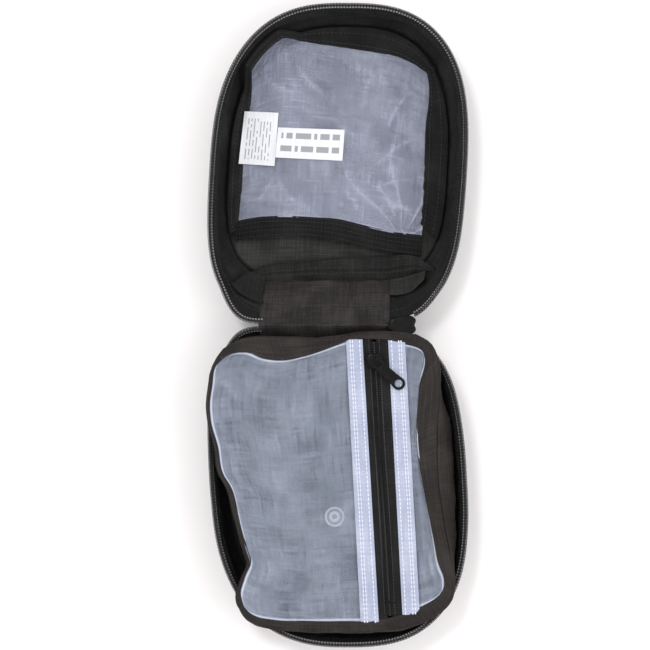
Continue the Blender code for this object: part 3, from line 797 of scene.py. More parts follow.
@dataclass(frozen=True)
class ClothFinish:
    """Woven or ribbed cloth: threads, an optional ripstop grid, crumpling, lint and a sheen."""

    name: str
    colour: Triple
    light: Triple
    roughness: float = 0.8
    sheen: float = 0.15
    pitch: float = 0.5
    grid: float = 0.0
    ribs: float = 0.0
    slub: float = 0.4
    depth: float = 0.12
    crumple: float = 0.35
    lint: float = 0.2

    def make(self, groups: Groups) -> Material:
        """Builds the material."""
        made, n, shader, vector = start_material(self.name, Space.CLOTH)
        weave = use(n, groups.weave, vector, pitch=self.pitch, grid=self.grid, slub=self.slub)
        crumple = use(n, groups.crumple, vector, strength=self.crumple)
        lint = use(n, groups.lint, vector, amount=self.lint)
        tone = n.math("MULTIPLY_ADD", weave.outputs["Threads"], 0.45, n.math("MULTIPLY", crumple.outputs["Shade"], 0.45))
        tone = n.math("MULTIPLY_ADD", weave.outputs["Grid mask"], 0.16, tone)
        height = weave.outputs["Height"]
        if self.ribs:
            ribs = use(n, groups.ribs, vector, pitch=self.ribs)
            height = n.math("MULTIPLY_ADD", ribs.outputs[0], 1.4, height)
            tone = n.math("MULTIPLY_ADD", ribs.outputs[0], 0.10, tone)
        colour = n.mix(n.ramp(tone, 0.1, 1.1), (*self.colour, 1), (*self.light, 1))
        colour = n.mix(lint.outputs[0], colour, (0.35, 0.34, 0.33, 1))
        n.feed(shader.inputs["Base Color"], colour)
        n.feed(shader.inputs["Roughness"], n.math("MULTIPLY_ADD", crumple.outputs["Shade"], 0.12, self.roughness - 0.06))
        n.set(shader, Sheen_Weight=self.sheen, Sheen_Roughness=0.45, Specular_IOR_Level=0.14)
        n.relief(shader, (height, 0.55, self.depth), (crumple.outputs["Height"], 0.6, 0.9))
        return made


@dataclass(frozen=True)
class NetFinish:
    """Sheer pocket cloth: pale fine threads with open holes between, closer where the cloth is creased, where it also
    takes a painted highlight.
    """

    name: str
    # colour: the paler tone where the fold attribute is high, partly a painted highlight on crease ridges, partly
    # doubled cloth at hems; shade: the net's own tone elsewhere
    colour: Triple
    shade: Triple
    cover: float
    fold_cover: float
    pitch: float = 0.62

    def make(self, groups: Groups) -> Material:
        """Builds the material; the cover is the share of light that the threads stop."""
        made, n, shader, vector = start_material(self.name, Space.CLOTH)
        weave = use(n, groups.weave, vector, pitch=self.pitch, grid=0.0, slub=0.5)
        crumple = use(n, groups.crumple, vector, strength=0.5)
        fold = n.add("ShaderNodeAttribute", attribute_name="fold").outputs["Fac"]
        # painted highlight: crease ridges in the fold attribute turn the colour paler; at hems and doubled cloth the
        # paleness is the cloth's own, and a broad noise adds random tone
        colour = n.mix(n.math("MULTIPLY_ADD", crumple.outputs["Shade"], 0.35, fold), (*self.shade, 1), (*self.colour, 1))
        n.feed(shader.inputs["Base Color"], colour)
        n.feed(shader.inputs["Roughness"], n.math("MULTIPLY_ADD", weave.outputs["Threads"], 0.1, 0.5))
        threads = n.math("MULTIPLY_ADD", weave.outputs["Threads"], 0.20, self.cover - 0.10)
        streaks = n.math("MULTIPLY_ADD", crumple.outputs["Shade"], 0.05, threads)
        cover = n.math("MULTIPLY_ADD", fold, self.fold_cover, streaks)
        n.feed(shader.inputs["Alpha"], n.math("MINIMUM", n.math("MAXIMUM", cover, 0.05), 0.97))
        n.set(shader, Sheen_Weight=0.05, Specular_IOR_Level=0.3)
        n.relief(shader, (weave.outputs["Height"], 0.4, 0.08), (crumple.outputs["Height"], 0.7, 0.8))
        return made


@dataclass(frozen=True)
class HardFinish:
    """Painted metal, nylon coil, rubber or clear plastic, with fine grain, rubbed patches, and a painted highlight
    where the UV marks one.
    """

    name: str
    colour: Triple
    rubbed: Triple
    roughness: float
    coat: float = 0.0
    transmission: float = 0.0
    grain: float = 6.0
    # the pale colour of a painted highlight, where the finish has one
    painted_highlight: Triple | None = None
    gloss: float = 0.5

    def make(self, groups: Groups) -> Material:
        """Builds the material."""
        made, n, shader, vector = start_material(self.name, Space.OBJECT)
        crumple = use(n, groups.crumple, n.scaled(vector, self.grain), strength=0.4)
        lint = use(n, groups.lint, vector, amount=0.25)
        rub = n.ramp(n.noise(vector, 0.5, 5.0), 0.55, 0.75)
        colour = n.mix(n.math("MULTIPLY", rub, 0.6), (*self.colour, 1), (*self.rubbed, 1))
        # painted highlight: the pale colour is mixed in by the share that the UV's v carries
        if self.painted_highlight:
            along = n.scaled(n.add("ShaderNodeUVMap", uv_map="cloth").outputs[0], 1000.0)
            colour = n.mix(n.math("MULTIPLY", n.split(along)[1], 0.9), colour, (*self.painted_highlight, 1))
        n.feed(shader.inputs["Base Color"], n.mix(lint.outputs[0], colour, (0.4, 0.4, 0.4, 1)))
        n.feed(shader.inputs["Roughness"], n.math("MULTIPLY_ADD", crumple.outputs["Shade"], 0.14, self.roughness))
        n.set(shader, Coat_Weight=self.coat, Coat_Roughness=0.12, Specular_IOR_Level=self.gloss)
        n.set(shader, Transmission_Weight=self.transmission, IOR=1.49)
        n.relief(shader, (crumple.outputs["Height"], 0.15, 0.05))
        return made


@dataclass(frozen=True)
class LabelFinish:
    """White satin or paper with rows of plain grey bars where a maker's text would be."""

    name: str
    rows: float
    left: float
    right: float
    first: float
    last: float
    bar: float
    upright: bool = False

    def make(self, groups: Groups) -> Material:
        """Builds the material; a bar shows where its row, its margins and a word noise all allow it."""
        made, n, shader, vector = start_material(self.name, Space.CLOTH)
        x, y = n.split(vector)
        along, across = (y, x) if self.upright else (x, y)
        row = n.math("FRACT", n.math("DIVIDE", n.math("SUBTRACT", across, self.first), self.rows))
        inside = n.math("LESS_THAN", row, self.bar)
        for value, low, high in ((along, self.left, self.right), (across, self.first, self.last)):
            inside = n.math("MULTIPLY", inside, n.math("GREATER_THAN", value, low))
            inside = n.math("MULTIPLY", inside, n.math("LESS_THAN", value, high))
        line = n.math("FLOOR", n.math("DIVIDE", n.math("SUBTRACT", across, self.first), self.rows))
        joined = n.add("ShaderNodeCombineXYZ")
        n.feed(joined.inputs[0], n.math("FLOOR", n.math("MULTIPLY", along, 0.55)))
        n.feed(joined.inputs[1], line)
        words = n.math("GREATER_THAN", n.noise(joined.outputs[0], 0.9, 0.0), 0.42)
        ink = n.math("MULTIPLY", inside, words)
        weave = use(n, groups.weave, vector, pitch=0.35, grid=0.0, slub=0.3)
        paper = n.mix(weave.outputs["Threads"], (0.66, 0.68, 0.72, 1), (0.84, 0.86, 0.90, 1))
        n.feed(shader.inputs["Base Color"], n.mix(n.math("MULTIPLY", ink, 0.75), paper, (0.16, 0.17, 0.19, 1)))
        n.feed(shader.inputs["Roughness"], n.math("MULTIPLY_ADD", weave.outputs["Threads"], 0.1, 0.5))
        n.relief(shader, (weave.outputs["Height"], 0.3, 0.05))
        return made


class Look(Enum):
    """Every finish of the pouch, with the record's slot that it belongs to."""

    NYLON = ("nylon", ClothFinish("black nylon", (0.010, 0.010, 0.0105), (0.028, 0.028, 0.029), 0.7, 0.02, 0.45, slub=0.6))
    RIPSTOP = (
        "ripstop",
        ClothFinish("brown-black ripstop", (0.013, 0.0105, 0.0098), (0.040, 0.034, 0.031), 0.5, 0.03, 0.42, 2.3, slub=0.6),
    )
    SPINE = (
        "ripstop",
        ClothFinish("spine ripstop", (0.021, 0.0185, 0.018), (0.060, 0.054, 0.053), 0.45, 0.03, 0.42, 2.3, slub=0.7, crumple=0.8),
    )
    LINING = (
        "lining",
        ClothFinish("dark lining", (0.018, 0.019, 0.017), (0.058, 0.060, 0.054), 0.75, 0.03, 0.4, 2.6, slub=0.6, lint=0.25),
    )
    BINDING = (
        "binding",
        ClothFinish(
            "ribbed binding", (0.009, 0.009, 0.009), (0.030, 0.030, 0.030), 0.85, 0.02, 0.6, ribs=0.9, depth=0.16, lint=0.3
        ),
    )
    ELASTIC = (
        "binding",
        ClothFinish(
            "ribbed elastic", (0.007, 0.007, 0.007), (0.026, 0.026, 0.027), 0.85, 0.02, 0.6, ribs=1.0, depth=0.2, lint=0.3
        ),
    )
    HEM = (
        "binding",
        ClothFinish(
            "grosgrain hem", (0.011, 0.011, 0.011), (0.040, 0.040,
                              0.038), 0.85, 0.03, 0.6, ribs=1.0, slub=0.6, depth=0.25, lint=0.4
        ),
    )
    TAPE = (
        "zip_tape",
        ClothFinish("zip tape", (0.009, 0.009, 0.0095), (0.028, 0.028, 0.029), 0.8, 0.02, 0.5, ribs=0.9, depth=0.12),
    )
    WHITE = (
        "white_tape",
        ClothFinish(
            "white binding", (0.38, 0.42, 0.56), (0.60, 0.64, 0.77), 0.75, 0.02, 0.5, ribs=0.8, slub=0.6, depth=0.12, lint=0.0
        ),
    )
    WEBBING = (
        "webbing",
        ClothFinish("webbing", (0.007, 0.007, 0.008), (0.026, 0.026, 0.027), 0.8, 0.03, 1.0, ribs=2.0, depth=0.3),
    )
    THREAD = ("binding", HardFinish("black thread", (0.02, 0.02, 0.021), (0.07, 0.07, 0.072), 0.6))
    WHITE_THREAD = ("white_tape", HardFinish("white thread", (0.80, 0.82, 0.90), (0.9, 0.92, 0.97), 0.6))
    # The coil's and the chain's last colour is a painted highlight on the wires' sides.
    COIL = (
        "coil",
        HardFinish("nylon coil", (0.008, 0.008, 0.008), (0.03, 0.03, 0.03), 0.14, coat=0.1, gloss=0.3, painted_highlight=(0.62, 0.62, 0.64)),
    )
    CHAIN = ("coil", HardFinish("chain coil", (0.006, 0.006, 0.006), (0.02, 0.02, 0.02), 0.3, gloss=0.2,
             painted_highlight=(0.14, 0.14, 0.145)))
    PAINT = ("slider", HardFinish("black paint", (0.003, 0.003, 0.003), (0.010, 0.010, 0.010), 0.3, gloss=0.14))
    RUBBER = ("rubber", HardFinish("soft rubber", (0.010, 0.010, 0.010), (0.022, 0.022, 0.022), 0.6, gloss=0.25))
    # The clear plastic's last colour is a painted highlight on the stud's upper rings.
    CLEAR = (
        "clear",
        HardFinish(
            "clear plastic", (0.20, 0.22, 0.25), (0.30, 0.32, 0.35), 0.12, transmission=0.25, grain=2.0, painted_highlight=(0.95, 0.96, 1.0)
        ),
    )
    NET_BASE = ("mesh", NetFinish("pocket net", (0.76, 0.82, 0.98), (0.50, 0.57, 0.72), 0.178, 0.5))
    NET_LID = ("mesh", NetFinish("lid net", (0.78, 0.83, 1.0), (0.48, 0.52, 0.68), 0.235, 0.34))
    CARE = ("label", LabelFinish("care label", 1.9, 3.0, 27.0, 3.0, 17.5, 0.30, True))
    BATCH = ("label", LabelFinish("printed label", 7.6, 2.5, 37.0, 4.0, 16.5, 0.45))

    @property
    def slot(self) -> str:
        """The record's material slot."""
        return self.value[0]


# The box pocket's soft pieces, which the closing lid presses in towards the pocket's chain; here each is only given a
# mesh of its own.
PRESSED_IN = frozenset(
    {"pocket_slack_gusset", "pocket_cloth_edge", "pocket_edge_stitches", "pocket_sheer_large", "pocket_sheer_small"}
)
CHAIN_FOOT = tuple(float(x) for x in place(np.array(25.0), np.array(90.0), np.array(38.0), Side.BASE))


class Finishes:
    """Makes each finish's material once, when a piece first asks for it."""

    def __init__(self) -> None:
        self.groups = Groups()
        self.made: dict[Look, Material] = {}

    def of(self, look: Look) -> Material:
        """The material of a look."""
        if look not in self.made:
            self.made[look] = look.value[1].make(self.groups)
        return self.made[look]


def declare(points: Array) -> None:
    """Works out a sheet's cut, its grid laid flat, from the longest of its columns and of its rows; the size is not
    kept.

    Args:
        points: The grid that it was made from.
    """
    length = np.linalg.norm(np.diff(points, axis=1), axis=-1).sum(axis=1)
    width = np.linalg.norm(np.diff(points, axis=0), axis=-1).sum(axis=0)
    size = (float(width.max()), float(length.max()))
    if min(size) < 0.01:
        return


class Maker:
    """Dresses finished pieces and sets them on their bodies."""

    def __init__(self, finishes: Finishes) -> None:
        self.finishes = finishes

    def dress(self, piece: Piece, look: Look, body: str | None, replaces: tuple[str, ...] = ()) -> Piece:
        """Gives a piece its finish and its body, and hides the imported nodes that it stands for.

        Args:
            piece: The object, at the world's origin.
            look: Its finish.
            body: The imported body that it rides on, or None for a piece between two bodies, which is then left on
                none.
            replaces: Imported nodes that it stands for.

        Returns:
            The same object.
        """
        piece.data.materials.clear()
        piece.data.materials.append(self.finishes.of(look))
        if body is not None:
            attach(piece, body)
        if piece.name in PRESSED_IN:
            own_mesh(piece)
        if replaces:
            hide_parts(*replaces)
        log.info("%s: %d faces, on %s", piece.name, len(piece.data.polygons), body or "two bodies")
        return piece

    def sew(self, name: str, paths: list[Array], body: str, pitch: float = 2.6, length: float = 1.9, width: float = 0.42) -> None:
        """Rows of black stitches along world paths, on a body."""
        self.dress(stitch_row(name, paths, UP, pitch, length, width), Look.THREAD, body)

    def lay(self, name: str, points: Array, thickness: float, look: Look, body: str, replaces: tuple[str, ...],
            held: str, rests_on: list[str], ring: bool = False) -> None:
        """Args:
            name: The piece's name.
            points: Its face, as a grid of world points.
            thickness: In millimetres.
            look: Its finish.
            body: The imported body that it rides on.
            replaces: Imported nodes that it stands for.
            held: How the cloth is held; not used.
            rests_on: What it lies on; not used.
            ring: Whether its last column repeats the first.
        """
        piece = sheet(name, points, thickness, ring=ring)
        self.dress(piece, look, body, replaces)
        declare(points)


class Batch:
    """Gathers grids and builds them as one mesh."""

    def __init__(self) -> None:
        self.points: list[Array] = []
        self.quads: list[Array] = []
        self.uv: list[Array] = []
        self.count = 0

    def add(self, points: Array, uv: Array | None = None) -> None:
        """Adds a grid of world points; without a UV it gets the lengths along its rows and columns."""
        uv = cloth_lengths(points) if uv is None else uv
        self.points.append(points.reshape(-1, 3))
        self.uv.append(uv.reshape(-1, 2))
        self.quads.append(grid_quads(*points.shape[:2]) + self.count)
        self.count += len(self.points[-1])

    def add_wire(self, path: Array, radius: float, out: Array, painted_highlight: Array) -> None:
        """Adds a coil's wire; its UV is its length and its share of painted highlight, in thousandths.

        Args:
            path: The wire's middle.
            radius: Of the wire, in millimetres.
            out: The way out of the coil at each point.
            painted_highlight: How much painted highlight each point takes, from 0 to 1.
        """
        grid = tube_grid(path, radius * MM, out, 5)
        value = np.concatenate([painted_highlight[:1], painted_highlight, painted_highlight[-1:]])[:, None] * MM
        self.add(grid, np.stack(np.broadcast_arrays(cloth_lengths(grid)[..., 1], value), axis=-1))

    def build(self, name: str) -> Piece:
        """One object of all that was added."""
        return make_mesh(name, np.concatenate(self.points), np.concatenate(self.quads), np.concatenate(self.uv))


def by_angle(points: Array, centre: Pair, angles: Array) -> Array:
    """An outline sampled at polar angles about a centre, by its radius at each angle.

    Args:
        points: The outline's (u, v) or (u, v, z) points, a closed turn or part of one.
        centre: The centre in u and v.
        angles: Angles in radians.

    Returns:
        One row for each angle, with as many columns as points.
    """
    away = points[:, :2] - np.asarray(centre)
    angle = np.unwrap(np.arctan2(away[:, 1], away[:, 0]))
    if angle[-1] < angle[0]:
        angle, away, points = angle[::-1], away[::-1], points[::-1]
    middle = (angle[0] + angle[-1]) / 2
    wanted = angles + 2 * math.pi * np.round((middle - angles.mean()) / (2 * math.pi))
    columns = [np.hypot(away[:, 0], away[:, 1])]
    columns += [points[:, k] for k in range(2, points.shape[1])]
    if angle[-1] - angle[0] > 6.0:
        angle = np.concatenate([angle - 2 * math.pi, angle, angle + 2 * math.pi])
        columns = [np.tile(column, 3) for column in columns]
    radius, *rest = [np.interp(wanted, angle, column) for column in columns]
    flat = [centre[0] + radius * np.cos(angles), centre[1] + radius * np.sin(angles)]
    return np.stack([*flat, *rest], axis=-1)


def beside_lines(u: Array, v: Array, lines: tuple[tuple[float, ...], ...], sway: float, bends: float) -> Iterator[tuple]:
    """Where each point lies beside each fold's line, which sways by a sine of its length.

    Args:
        u: Points across the shell.
        v: Points away from the spine.
        lines: Each fold's (u, v) at its start and at its end, its width and its height.
        sway: How far a line sways, in millimetres.
        bends: The sine's angle over the line's length.

    Yields:
        The distance off the line, the share of the way along it, and the fold's width and height.
    """
    for u0, v0, u1, v1, width, height in lines:
        length = math.hypot(u1 - u0, v1 - v0)
        way = ((u1 - u0) / length, (v1 - v0) / length)
        along = ((u - u0) * way[0] + (v - v0) * way[1]) / length
        off = (u - u0) * -way[1] + (v - v0) * way[0] + sway * np.sin(along * bends)
        yield off, along, width, height


# ---------------------------------------------------------------- the shells


@dataclass(frozen=True)
class Bulge:
    """A place where a shell's soft wall stands out: its angle in degrees, its reach and its spread."""

    angle: float
    reach: float
    spread: float


@dataclass
class Shell:
    """One half of the pouch: a thin soft tub, its lining, its bound seam, and its half of the main zip."""

    side: Side
    maker: Maker
    bulges: tuple[Bulge, ...]
    thickness: float = 1.2
    floor: float = 1.4
    recess_middle: Pair = (-8.0, 95.0)
    recess_inner: float = 0.5
    recess_outer: float = 0.72
    recess_height: float = 7.5
    lining_top: float = 2.25
    lining_thickness: float = 0.45
    tape_inset: float = 1.55
    tape_thickness: float = 0.55
    tape_low: float = 20.0
    zip_start: float = -60.0
    zip_end: float = 246.5
    tape_start: float = -69.0
    tape_end: float = 247.5
    coil_inset: float = 1.55
    coil_height: float = 33.4
    coil_reach: float = 1.25
    coil_rise: float = 0.95
    coil_pitch: float = 1.7
    wire: float = 0.42

    @property
    def name(self) -> str:
        """The shell's name, which is also its body's."""
        return self.side.name.lower()

    def rise(self, share: Array) -> Array:
        """How high the floor stands over what lies behind it, by the share of the way out to its edge."""
        if self.side is Side.LID:
            return np.zeros_like(share)
        return self.recess_height * smooth((self.recess_outer - share) / (self.recess_outer - self.recess_inner))

    def lean_out(self, angles: Array, z: float) -> Array:
        """How far the wall stands out at height z: its bulges, and creases that fade at floor and rim.

        Args:
            angles: Polar angles about the shell's middle.
            z: Height.

        Returns:
            One distance for each angle, in millimetres.
        """
        degrees = np.degrees(angles) % 360
        fade = math.sin(math.pi * min(1.0, max(0.0, z / WALL_TOP))) ** 0.8 if z > 0 else 0.0
        out = np.zeros_like(angles)
        for bulge in self.bulges:
            apart = (degrees - bulge.angle + 180) % 360 - 180
            out = out + bulge.reach * np.exp(-((apart / bulge.spread) ** 2))
        creases = Ripples(5 + self.side.value, 0.55, 9, 30, 10).at(angles * 85, z * np.ones_like(angles) * 1.6)
        return fade * (out + creases)

    def body(self) -> None:
        """The tub, closed: floor's underside, wall's outside, its top edge, its inside, and the floor's top.

        The wall follows the shell's outline at each height, moved out by lean_out. The floor runs by
        shares from the wall's foot to the middle of the recess.
        """
        angles = turn(-90, 270, 289)
        middle = self.recess_middle if self.side is Side.BASE else (0.0, SHELL.widest)
        shares = np.concatenate([np.linspace(0, 0.45, 7), np.linspace(0.5, 0.74, 8), np.linspace(0.8, 0.98, 5)])
        foot = SHELL.outline(0.0).inset(angles, 0.8)
        rows = []
        creases = Ripples(17 + self.side.value, 0.22, 16, 50, 8)

        def floor_row(share: float, top: float) -> Array:
            flat = np.asarray(middle) + (foot - np.asarray(middle)) * share
            wave = creases.at(flat[:, 0], flat[:, 1]) * smooth(np.array((1 - share) / 0.15)) * (top > 0)
            z = self.rise(np.full(angles.shape, share)) + top + wave * 0.6
            return laid(flat, z, self.side)

        rows += [floor_row(float(share), 0.0) for share in shares]
        levels = [0.25, 0.9, 2.0, 3.5, 5.5, 8.0, 10.5, 13.0, 15.5, 18.0, 20.0, 22.0, 23.4, WALL_TOP]
        for z in levels:
            soft = 0.8 * (1 - z / 0.9) ** 2 if z < 0.9 else 0.0
            flat = SHELL.outline(z).inset(angles, soft - self.lean_out(angles, z))
            rows.append(laid(flat, z, self.side))
        for z in [WALL_TOP + 0.3] + levels[::-1][:-2]:
            z_in = max(z, self.floor)
            inset = self.thickness * (0.5 if z > WALL_TOP else 1.0)
            flat = SHELL.outline(min(z, WALL_TOP)).inset(angles, inset - self.lean_out(angles, z))
            rows.append(laid(flat, z_in, self.side))
        rows += [floor_row(float(share), self.floor) for share in shares[::-1]]
        points = np.stack(rows)
        points[0] = points[0].mean(axis=0)
        points[-1] = points[-1].mean(axis=0)
        piece = surface(self.name + "_soft_wall", points)
        panel = "lid_front_panel" if self.side is Side.LID else "base_back_panel"
        self.maker.dress(piece, Look.NYLON, self.name, (self.name + "_wall", panel))

    def lining(self) -> None:
        """The lining: rings by share of the way from the middle to the wall's foot, wrinkled where it is loose."""
        angles = turn(-90, 270, 217)
        middle = np.asarray(self.recess_middle if self.side is Side.BASE else (0.0, SHELL.widest))
        edge = SHELL.outline(2.0).inset(angles, 2.2)
        shares = np.linspace(0.0, 1.0, 60)
        flat = middle + (edge - middle)[None] * shares[:, None, None]
        wave = Ripples(31 + self.side.value, 0.55, 10, 60, 12).at(flat[..., 0], flat[..., 1])
        wave = np.clip(wave + 0.1, 0.0, 1.1) * smooth((1 - shares) / 0.12)[:, None]
        if self.side is Side.BASE:
            patch = smooth((np.abs(flat[..., 0] + 12) - 23) / 6) + smooth((np.abs(flat[..., 1] - 111) - 23) / 6)
            wave = wave * np.minimum(1.0, patch)
        z = self.rise(shares)[:, None] + self.lining_top + wave
        points = laid(flat, z, self.side)
        uv = np.stack([flat[..., 0], flat[..., 1]], axis=-1) * MM
        piece = sheet(self.name + "_loose_lining", points, self.lining_thickness, ring=True, uv=uv)
        self.maker.dress(piece, Look.LINING, self.name, (self.name + "_lining",))
        self.name + "_soft_wall"

    def seam_binding(self) -> None:
        """Tape bound over the seam at the wall's foot: a flattened tube that swells and dips a little."""
        angles = turn(-68, 248, 300)
        flat = SHELL.outline(3.2).inset(angles, 2.3)
        path = laid(flat, 3.35, self.side)
        size = 0.75 + 0.06 * np.sin(angles * 37) + 0.05 * np.sin(angles * 83 + 1)
        grid = tube_grid(path, size * MM, UP, 9, flat=0.95)
        piece = surface(self.name + "_bound_seam", grid)
        self.maker.dress(piece, Look.BINDING, self.name, (self.name + "_seam_binding",))

    def drawn_in(self, flat: Array, angles: Array, much: float) -> Array:
        """(u, v) with the zip's two ends drawn in to the fold, where v falls towards 2.2 mm, by a share much.

        Args:
            flat: The (u, v) points.
            angles: Their polar angles.
            much: How much of the move to make, from 0 to 1.

        Returns:
            The moved points.
        """
        degrees = np.degrees(angles)
        ends = smooth((degrees - 226) / 20) + 0.55 * smooth((-49 - degrees) / 18)
        moved_v = flat[:, 1] - (flat[:, 1] - 2.2) * ends * much
        return np.column_stack([flat[:, 0], moved_v])

    def zip_line(self, inset: float, z: float, count: int, wander: float = 0.0) -> Array:
        """The rim's path from one end of the zip to the other, in metres, wandering sideways by wander mm.

        Args:
            inset: How far it lies inside the rim.
            z: Its height.
            count: Points to take.
            wander: How far it wanders.

        Returns:
            World points.
        """
        angles = turn(self.zip_start, self.zip_end, count)
        sway = wander * Ripples(3 + self.side.value, 1.0, 30, 90, 6).at(angles * 85, 0.0 * angles)
        flat = self.drawn_in(SHELL.outline(RIM_HEIGHT).inset(angles, inset + sway), angles, 1.0)
        return laid(flat, z, self.side)

    def zip_tape(self) -> None:
        """The zip's tape, a ribbon that stands from the wall's top to the coil and puckers between stitches."""
        angles = turn(self.tape_start, self.tape_end, 420)
        heights = np.linspace(self.tape_low, self.coil_height - 1.75, 9)
        share = (heights - heights[0]) / (heights[-1] - heights[0])
        pucker = Ripples(9 + self.side.value, 0.28, 5, 26, 9).at(angles[None] * 85, heights[:, None] * 0.7)
        rows = []
        for k, z in enumerate(heights):
            hang = 1.25 * (1 - share[k]) ** 0.7 + 0.25
            lean = self.lean_out(angles, z) * (1 - share[k])
            loose = math.sin(math.pi * min(1.0, 0.15 + share[k]))
            inset = self.tape_inset + hang * 0.55 - lean + pucker[k] * loose
            flat = self.drawn_in(SHELL.outline(float(z)).inset(angles, inset), angles, float(share[k]) ** 1.5)
            rows.append(laid(flat, z, self.side))
        points = np.stack(rows)
        self.maker.lay(self.name + "_puckered_zip_tape", points, self.tape_thickness, Look.TAPE, self.name,
                       (self.name + "_zip_tape",), "stretched", [self.name + "_soft_wall"])
        level = 4
        out = (points[level] - points[level].mean(axis=0)) * np.array([1, 1, 0])
        row = points[level] - 0.32 * MM * out / np.linalg.norm(out, axis=1, keepdims=True)
        self.maker.sew(self.name + "_tape_stitches", [row], self.name)

    def coil(self) -> None:
        """The zip's nylon coil: a wire wound round the rim's path, over a cord that fills its middle."""
        path = self.zip_line(self.coil_inset, self.coil_height, 900, 0.12)
        along = np.gradient(path, axis=0)
        along /= np.linalg.norm(along, axis=1, keepdims=True)
        aside = np.cross(along, UP)
        rise = np.broadcast_to(UP, path.shape) * self.coil_rise * MM
        # the wire's sides carry a painted highlight through its UV
        wound, out, painted_highlight = helix(path, aside * self.coil_reach * MM, rise, self.coil_pitch, 9)
        batch = Batch()
        batch.add_wire(wound, self.wire, out, painted_highlight)
        core = tube_grid(path, 0.62 * MM, UP, 7, flat=1.15)
        batch.add(core, np.zeros((*core.shape[:2], 2)))
        piece = batch.build(self.name + "_wound_zip_coil")
        self.maker.dress(piece, Look.COIL, self.name, (self.name + "_zip_coil",))
        edge = [path + aside * way * 1.25 * MM for way in (-1, 1)]
        lines = Batch()
        for line in edge:
            lines.add(tube_grid(line - UP * 0.9 * MM, 0.25 * MM, UP, 5))
        thread = lines.build(self.name + "_coil_thread")
        self.maker.dress(thread, Look.THREAD, self.name)

    def build(self) -> None:
        """Makes every piece of the shell."""
        self.body()
        self.lining()
        self.seam_binding()
        self.zip_tape()
        self.coil()


# ---------------------------------------------------------------- the lid's flat pocket


